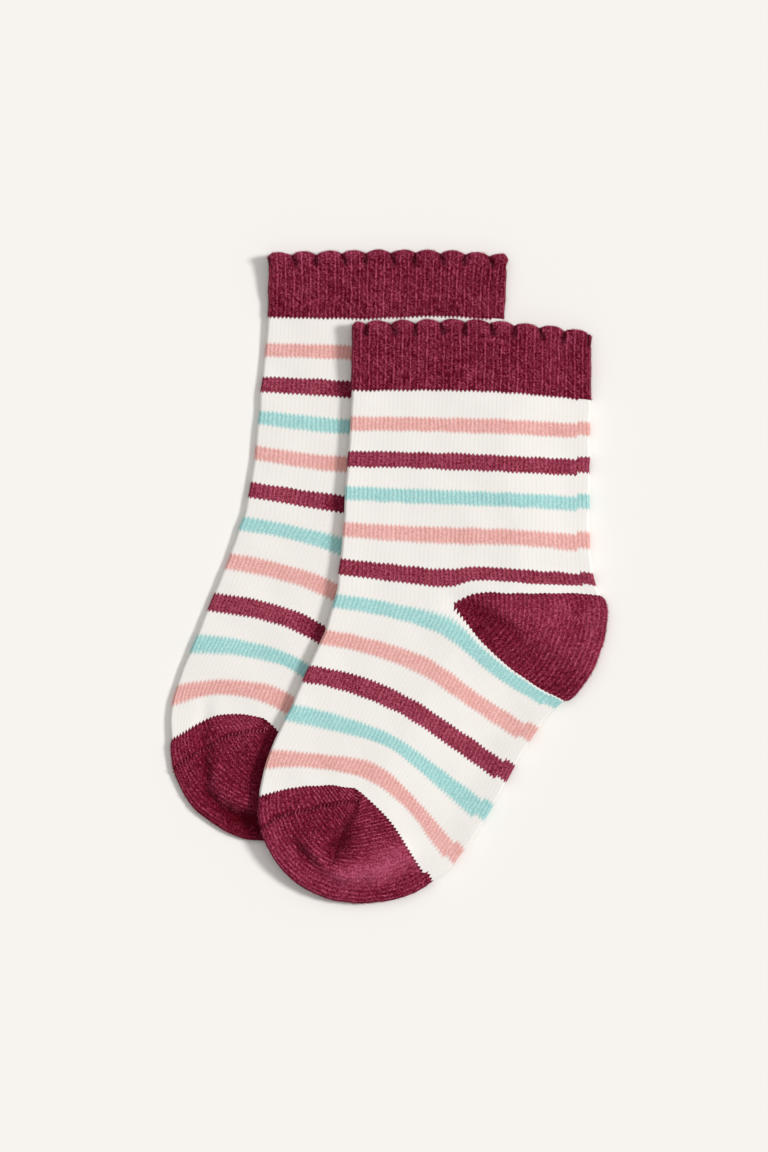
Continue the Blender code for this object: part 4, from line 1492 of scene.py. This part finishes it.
# %% Toes
def toe_pouch(sock):
    """The band above the seam, then the toe knitted to and fro, with a lap at both ends."""
    mouth, shell = sock.toe, Shell()
    seam = seam_turn(mouth, POUCH_REACHES, mouth.line_length(POUCH_REACHES))
    long, widest = mouth.line_length(np.array((1.0,)))[0], SEAM_SHARES[-1, 1]
    band = np.linspace(0, 1, 2 * round(widest / COURSE_PITCH) + 1)
    rest = np.linspace(0, 1, 2 * round((long - widest) / COURSE_PITCH) + 1)

    def band_number(share, turn, far):
        return SIDE_WALE * (1 - share), TOE_COURSE + turn * far / COURSE_PITCH

    def rest_number(share, turn, far):
        return SIDE_WALE + POUCH_WALES * share, (1 - turn) * far / COURSE_PITCH

    def sink(share, turn, far):
        return linking(mouth, share, turn, far)

    first, last = np.concatenate(((0.0,), band)), np.concatenate((rest, (1.0,)))
    for rows, turn, number in (
        (first, first[:, None] * seam, band_number),
        (last, seam + last[:, None] * (1 - seam), rest_number),
    ):
        lap = np.arange(len(rows)) == (0 if number is band_number else len(rows) - 1)
        pouch_stretch(shell, sock, mouth, turn, number, lap, True, TOE_GORE_WIDTH, sink)
    return shell.build(sock.name + "_toe_pouch", maroon_plain)


add_pair("toe", toe_pouch)

# %% [markdown]
# ## Cuffs
#
# A cuff is the same tube, knitted in ribs that stand out from the cloth. Its first course is hooked up
# again inside after a few rounds, which makes the turned welt. The welt draws in between groups of ribs and
# swells within each group, so its edge gets round lobes with a notch between them. The lobes flatten at both
# folds. A bump alone could draw the ribs, but it would leave the edge smooth, so they are in the mesh.

# %% Ribs and lobes
RIB_HEIGHT = 0.26
RIB_SPREAD = 0.25
CORD_HEIGHT = 0.12
CORD_SPREAD = 0.42
TWIST_HEIGHT = 0.08
LOBE_WALES = 6
LOBE_ROUNDNESS = 0.62
CORNER_WALES = 2.3
NOTCH_COURSE = -23.3
NOTCH_SHIFT = 0.1
NOTCH_SWING = 0.5
DENT_ACROSS = 0.55
DENT_ALONG = 1.5
CRACK_SHARE = 0.6
CRACK_WIDTH = 0.3


def rib_relief(wale, course):
    """Height of the ribs in millimetres: a thin line on each odd wale, and a cord of twisted stitches."""
    away = np.abs(2 * (wale / 2 % 1) - 1)
    twist = np.sin(np.pi * ((course - TWIST_SLOPE * wale) % 1))
    cord = CORD_HEIGHT + TWIST_HEIGHT * twist
    return RIB_HEIGHT * hump(away, RIB_SPREAD) + hump(1 - away, CORD_SPREAD) * cord


def lobe(sock, wale):
    """Share of a lobe's height. It falls away at both folds, where the welt turns under."""
    across = np.minimum(wale, ROUND - wale)
    phase = (across - sock.first_valley) / LOBE_WALES
    corners = ease(across / CORNER_WALES) * ease((ACROSS - across) / CORNER_WALES)
    return np.abs(np.sin(np.pi * phase)) ** LOBE_ROUNDNESS * corners


def notch(sock, wale, course):
    """The crack between two lobes and the dent at its foot, from 0 to 1."""
    down = np.clip((course - WELT_COURSE) / (NOTCH_COURSE - WELT_COURSE), 0, 1)
    place = (wale - sock.first_valley) / LOBE_WALES
    shift = NOTCH_SHIFT - NOTCH_SWING * np.cos(np.pi * np.round(place))
    phase = (place - np.round(place)) * LOBE_WALES - shift * down
    dent = hump(phase, DENT_ACROSS) * hump(course - NOTCH_COURSE, DENT_ALONG)
    crack = CRACK_SHARE * hump(phase, CRACK_WIDTH) * ease((NOTCH_COURSE + 1 - course) / 2)
    return np.maximum(dent, crack)


print("lobes on the flat cuff", ACROSS / LOBE_WALES)

# %% [markdown]
# The grid of a cuff runs from its inside over the rolled rim and down to the leg, with three rows to a
# course. The lower layer is pressed flat, so ribs, lobes and notches show on the upper layer only.

# %% Cuffs
WELT_DEPTH = 4.5
LOBE_HEIGHT = 1.8
LOBE_BASE = 0.45
LOBE_PUFF = 0.9
LOBE_LIGHT_AND_SMOOTH = 0.6
LOBE_FLAT = 0.6
NOTCH_DEPTH = 2.2
NOTCH_SHADE = 1.4
RIM_STEPS = 6
RIM_ROUND = 0.35
CUFF_STEP = 1 / 3
INSIDE_COURSE = -20.0
INSIDE_ROWS = 5


def cuff(sock):
    """The cuff, ribbed outside, with a rolled rim and the first courses of its inside."""
    angles = np.linspace(np.pi, 0, RIM_STEPS + 1)
    outside = np.arange(WELT_COURSE, CUFF_COURSE + CUFF_STEP / 2, CUFF_STEP)
    inside = np.linspace(INSIDE_COURSE, WELT_COURSE, INSIDE_ROWS)
    rim_course = WELT_COURSE - RIM_ROUND / COURSE_PITCH * np.sin(angles)[1:-1]
    rim_depth = WALL / 2 * (1 + np.cos(angles[::-1]))[1:-1]
    row_course = np.concatenate((inside, rim_course, outside, (CUFF_COURSE,)))
    row_depth = np.concatenate((np.full(INSIDE_ROWS, WALL), rim_depth, np.zeros(len(outside)), (LAP_DEPTH,)))
    columns = np.concatenate((TOP_COLUMNS, UNDER_COLUMNS))
    course, wale = grid(row_course, columns)
    depth = grid(row_depth, columns)[0]
    top, outer = wale <= ACROSS, 1 - np.clip(depth / WALL, 0, 1)
    on_welt = ease(1 - (course - WELT_COURSE) * COURSE_PITCH / WELT_DEPTH)
    stretch = on_welt * lobe(sock, wale)
    pulled = course - (stretch * LOBE_HEIGHT - on_welt * LOBE_BASE) / COURSE_PITCH
    dent = np.where(top, notch(sock, wale, course), 0.0) * outer
    ribs = np.where(top, rib_relief(wale, course) * (1 - LOBE_FLAT * stretch), 0.0) * outer
    padding = np.where(top, LOBE_PUFF * stretch * outer, 0.0)
    points = tube(sock, pulled, wale, depth - ribs + NOTCH_DEPTH * dent, padding)
    # Painted shade in the notches; the lobes are made lighter and their stitches less crisp.
    hollow, worn = NOTCH_SHADE * dent, LOBE_LIGHT_AND_SMOOTH * stretch * outer
    shell = Shell()
    shell.add(points, wale, course, hollow, worn, (len(row_course), len(columns)))
    return shell.build(sock.name + "_ribbed_cuff", maroon_ribbed)


add_pair("cuff", cuff)

# %% [markdown]
# ## Fibres and linking stitches
#
# Cotton yarn is spun from short hairs, and some of them always work loose. A few thousand on each maroon
# piece soften its outline against the pale surface. Nobody would place them one by one: a Geometry Nodes
# tree scatters points over the piece and sets one small bent fibre on each, turned at random. The seed is
# fixed, so the fibres come out alike every time. The points keep to the upper faces, because below the
# cloth is pressed flat.

# %% Helpers for Geometry Nodes
ARCH_BEND = 0.15


def growing_tree(name, inputs):
    """An empty Geometry Nodes tree with named inputs, its input node and its output node."""
    tree = bpy.data.node_groups.new(name, "GeometryNodeTree")
    tree.interface.new_socket(name="Geometry", in_out="INPUT", socket_type="NodeSocketGeometry")
    for socket, kind in inputs:
        tree.interface.new_socket(name=socket, in_out="INPUT", socket_type=kind)
    tree.interface.new_socket(name="Geometry", in_out="OUTPUT", socket_type="NodeSocketGeometry")
    return tree, tree.nodes.new("NodeGroupInput"), tree.nodes.new("NodeGroupOutput")


def bent_fibre(tree, radius, rise, sides, steps):
    """A short arch of yarn, one unit long from end to end, along X."""
    curve = node(tree, "GeometryNodeCurveQuadraticBezier", Resolution=steps)
    curve.inputs["Start"].default_value = (-0.5, 0, 0)
    curve.inputs["Middle"].default_value = (0, ARCH_BEND, 2 * rise)
    curve.inputs["End"].default_value = (0.5, 0, 0)
    ring = node(tree, "GeometryNodeCurvePrimitiveCircle", Resolution=sides, Radius=radius)
    solid = node(tree, "GeometryNodeCurveToMesh", Curve=curve.outputs[0], Profile_Curve=ring.outputs[0],
                 Fill_Caps=True)
    return solid.outputs[0]


def grow(name, mesh, tree, values):
    """Runs a tree on a mesh, and keeps what grows as a plain mesh of its own."""
    carrier = bpy.data.objects.new(name, mesh)
    bpy.context.scene.collection.objects.link(carrier)
    modifier = carrier.modifiers.new("grow", "NODES")
    modifier.node_group = tree
    for item in tree.interface.items_tree:
        if item.in_out == "INPUT" and item.name in values:
            modifier[item.identifier] = values[item.name]
    evaluated = carrier.evaluated_get(bpy.context.evaluated_depsgraph_get())
    grown = bpy.data.meshes.new_from_object(evaluated)
    bpy.data.objects.remove(carrier)
    made = bpy.data.objects.new(name, grown)
    grown.name = name
    bpy.context.scene.collection.objects.link(made)
    print(name, len(grown.loops) - 2 * len(grown.polygons), "triangles")
    return made


print("trees can grow")

# %% [markdown]
# The tree for loose fibres works in five steps: choose the faces that look up and lie clear of the surface,
# scatter points on them, turn each a little at random away from the cloth, set a fibre on each, and make
# real mesh of it. On level cloth a fibre is hardly seen, so fewer grow there than on slopes.

# %% Loose fibres
FIBRE_LENGTH = 1.5 * MM
FIBRE_RADIUS = 0.025 * MM
FIBRE_SIZES = (0.4, 1.5)
FIBRE_RISE = 0.12
FIBRE_LEAN = 0.35
FIBRES_EACH = 6000
FLAT_THINNING = 0.75
LOWEST_FIBRE = 1.2 * MM


def rotated(tree, rotation, angles):
    """A rotation turned further by Euler angles, in its own frame."""
    further = node(tree, "FunctionNodeEulerToRotation", Euler=angles).outputs[0]
    made = node(tree, "FunctionNodeRotateRotation", Rotation=rotation, Rotate_By=further)
    made.rotation_space = "LOCAL"
    return made.outputs[0]


def loose_fibres():
    """Tree: short bent fibres on the upper faces of a mesh."""
    tree, start, end = growing_tree("Loose fibres", [
        ("Density", "NodeSocketFloat"), ("Length", "NodeSocketFloat"), ("Radius", "NodeSocketFloat"),
        ("Lean", "NodeSocketFloat"), ("Lowest", "NodeSocketFloat"), ("Flat thinning", "NodeSocketFloat"),
        ("Seed", "NodeSocketInt"), ("Material", "NodeSocketMaterial"),
    ])
    given = start.outputs
    place = node(tree, "ShaderNodeSeparateXYZ", Vector=tree.nodes.new("GeometryNodeInputPosition").outputs[0])
    facing = node(tree, "ShaderNodeSeparateXYZ", Vector=tree.nodes.new("GeometryNodeInputNormal").outputs[0])
    clear = maths(tree, "GREATER_THAN", place.outputs[2], given["Lowest"])
    upper = maths(tree, "MULTIPLY", clear, maths(tree, "GREATER_THAN", facing.outputs[2], 0.0))
    level = maths(tree, "MULTIPLY", facing.outputs[2], facing.outputs[2])
    thinned = maths(tree, "MULTIPLY_ADD", level, maths(tree, "MULTIPLY", given["Flat thinning"], -1.0), 1.0)
    density = maths(tree, "MULTIPLY", given["Density"], thinned)
    scatter = node(tree, "GeometryNodeDistributePointsOnFaces", Mesh=given["Geometry"], Selection=upper,
                   Density=density, Seed=given["Seed"])
    back = maths(tree, "MULTIPLY", given["Lean"], -1.0)
    least = node(tree, "ShaderNodeCombineXYZ", X=back, Y=back)
    most = node(tree, "ShaderNodeCombineXYZ", X=given["Lean"], Y=given["Lean"], Z=2 * math.pi)
    turn = tree.nodes.new("FunctionNodeRandomValue")
    turn.data_type = "FLOAT_VECTOR"
    for socket, value in (("Min", least.outputs[0]), ("Max", most.outputs[0]), ("Seed", given["Seed"])):
        plug(tree, turn.inputs[socket], value)
    turned = rotated(tree, scatter.outputs["Rotation"], turn.outputs[0])
    sizes = tree.nodes.new("FunctionNodeRandomValue")
    for socket, value in zip((2, 3, "Seed"), (*FIBRE_SIZES, given["Seed"])):
        plug(tree, sizes.inputs[socket], value)
    size = maths(tree, "MULTIPLY", sizes.outputs[1], given["Length"])
    fibre = bent_fibre(tree, maths(tree, "DIVIDE", given["Radius"], given["Length"]), FIBRE_RISE, 3, 3)
    placed = node(tree, "GeometryNodeInstanceOnPoints", Points=scatter.outputs["Points"], Instance=fibre,
                  Rotation=turned, Scale=size)
    real = node(tree, "GeometryNodeRealizeInstances", Geometry=placed.outputs[0])
    dressed = node(tree, "GeometryNodeSetMaterial", Geometry=real.outputs[0], Material=given["Material"])
    tree.links.new(dressed.outputs[0], end.inputs[0])
    return tree


LOOSE_FIBRES = loose_fibres()
print(LOOSE_FIBRES.name, len(LOOSE_FIBRES.nodes), "nodes")

# %% [markdown]
# Single hairs let light through, so loose fibres are a little lighter than the cloth, and no two are quite
# the same. The linking yarn is plied tightly, which makes it darker.

# %% Fibre material
COTTON_GRAIN = 900.0
COTTON_CONTRAST = (3.0, -1.0)
LOOSE_COLOURS = ((0.20, 0.012, 0.034, 1.0), (0.50, 0.09, 0.155, 1.0))
PLIED_COLOURS = ((0.14, 0.008, 0.022, 1.0), (0.38, 0.06, 0.11, 1.0))


def fibre_material(name, dark, light):
    """Single hairs and plies of cotton, each a little lighter or darker than the next."""
    material = bpy.data.materials.new(name)
    material.use_nodes = True
    tree = material.node_tree
    shader = tree.nodes["Principled BSDF"]
    shader.inputs["Roughness"].default_value = 0.85
    shader.inputs["Specular IOR Level"].default_value = 0.1
    place = node(tree, "ShaderNodeTexCoord").outputs["Object"]
    noise = node(tree, "ShaderNodeTexNoise", Vector=place, Scale=COTTON_GRAIN, Detail=1.0)
    contrast = maths(tree, "MULTIPLY_ADD", noise.outputs[0], *COTTON_CONTRAST)
    plug(tree, shader.inputs["Base Color"], blend_colours(tree, clamped(tree, contrast), dark, light))
    return material


loose_cotton = fibre_material("maroon_cotton_fibres", *LOOSE_COLOURS)
linking_yarn = fibre_material("maroon_linking_yarn", *PLIED_COLOURS)
print(loose_cotton.name, linking_yarn.name)

# %% [markdown]
# Each maroon piece gets about as many fibres as the others, so the density comes from its upper area, which
# is given here in square millimetres. The seed is the place of the piece in the list of all pieces.

# %% Fuzz on the maroon pieces
UPPER_AREA = {"cuff": 1800, "heel": 1300, "toe": 2300}
trims = {name: [] for name in pieces}
for number, (name, piece) in enumerate(sorted(pieces.items())):
    stretch = name.split("_", 1)[1]
    if stretch in UPPER_AREA:
        trims[name].append(grow(name + "_fuzz", piece.data, LOOSE_FIBRES, {
            "Density": FIBRES_EACH / (UPPER_AREA[stretch] * MM * MM),
            "Length": FIBRE_LENGTH, "Radius": FIBRE_RADIUS, "Lean": FIBRE_LEAN, "Lowest": LOWEST_FIBRE,
            "Flat thinning": FLAT_THINNING, "Seed": number, "Material": loose_cotton,
        }))

# %% [markdown]
# The last course of the toe is linked to the instep loop by loop, with a yarn that passes over the join
# once for each wale. A dark line in the material would show where the seam runs, but not how its yarn
# catches the light. So a tree follows the line: it cuts it into equal steps and sets one slanting stitch on
# each.

# %% Linking stitches
LINK_PITCH = 1.1 * MM
LINK_LENGTH = 1.3 * MM
LINK_RADIUS = 0.2 * MM
LINK_SLANT = 1.1
LINK_RISE = 0.1


def linking_stitches():
    """Tree: slanting stitches of yarn at equal steps along a line."""
    tree, start, end = growing_tree("Linking stitches", [
        ("Pitch", "NodeSocketFloat"), ("Length", "NodeSocketFloat"), ("Radius", "NodeSocketFloat"),
        ("Slant", "NodeSocketFloat"), ("Material", "NodeSocketMaterial"),
    ])
    given = start.outputs
    line = node(tree, "GeometryNodeMeshToCurve", Mesh=given["Geometry"])
    steps = tree.nodes.new("GeometryNodeResampleCurve")
    steps.mode = "LENGTH"
    plug(tree, steps.inputs["Curve"], line.outputs[0])
    plug(tree, steps.inputs["Length"], given["Pitch"])
    tangent = tree.nodes.new("GeometryNodeInputTangent").outputs[0]
    along = node(tree, "FunctionNodeAlignRotationToVector", Vector=tangent)
    along.axis = "X"
    slant = node(tree, "ShaderNodeCombineXYZ", Z=given["Slant"])
    turned = rotated(tree, along.outputs[0], slant.outputs[0])
    stitch = bent_fibre(tree, maths(tree, "DIVIDE", given["Radius"], given["Length"]), LINK_RISE, 5, 4)
    placed = node(tree, "GeometryNodeInstanceOnPoints", Points=steps.outputs[0], Instance=stitch,
                  Rotation=turned, Scale=given["Length"])
    real = node(tree, "GeometryNodeRealizeInstances", Geometry=placed.outputs[0])
    even = node(tree, "GeometryNodeSetShadeSmooth", Geometry=real.outputs[0])
    dressed = node(tree, "GeometryNodeSetMaterial", Geometry=even.outputs[0], Material=given["Material"])
    tree.links.new(dressed.outputs[0], end.inputs[0])
    return tree


LINKING = linking_stitches()
print(LINKING.name, len(LINKING.nodes), "nodes")

# %% [markdown]
# The line itself comes from the same function that bends the cloth at the seam. It starts a little way from
# the side of the foot, where the seam runs into the gore, and lies just under the surface of the cloth.

# %% The seams of both toes
LINE_START = 0.06
LINE_POINTS = 90
LINE_DEPTH = 0.05

for sock in (rear, front):
    share = np.linspace(LINE_START, 1.0, LINE_POINTS)
    turn = seam_turn(sock.toe, share, sock.toe.line_length(share))
    above, depth = np.zeros(LINE_POINTS, bool), np.full(LINE_POINTS, LINE_DEPTH)
    points = pouch(sock, sock.toe, share, turn, above, depth) * MM
    line = bpy.data.meshes.new(sock.name + "_seam_line")
    line.from_pydata(points.tolist(), [(k, k + 1) for k in range(LINE_POINTS - 1)], [])
    trims[sock.name + "_toe"].append(grow(sock.name + "_toe_linking", line, LINKING, {
        "Pitch": LINK_PITCH, "Length": LINK_LENGTH, "Radius": LINK_RADIUS, "Slant": LINK_SLANT,
        "Material": linking_yarn,
    }))

# %% [markdown]
# ## The pieces in place
#
# At the end each shell hangs from the root body, and the solid whose place it takes is hidden. Its loose
# fibres and linking stitches hang there with it. Cuff, leg and foot come from flat knitting 120 wales round,
# and heel and toe from 66 wales. A pouch is narrowed and widened again, so it covers only 0.6 of the
# rectangle. The front sock rests on the rear one.

# %% Each shell in place of its solid
for name, piece in pieces.items():
    sock_name, stretch = name.split("_", 1)
    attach(piece, "root")
    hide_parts(name)
    for trim in trims[name]:
        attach(trim, "root")
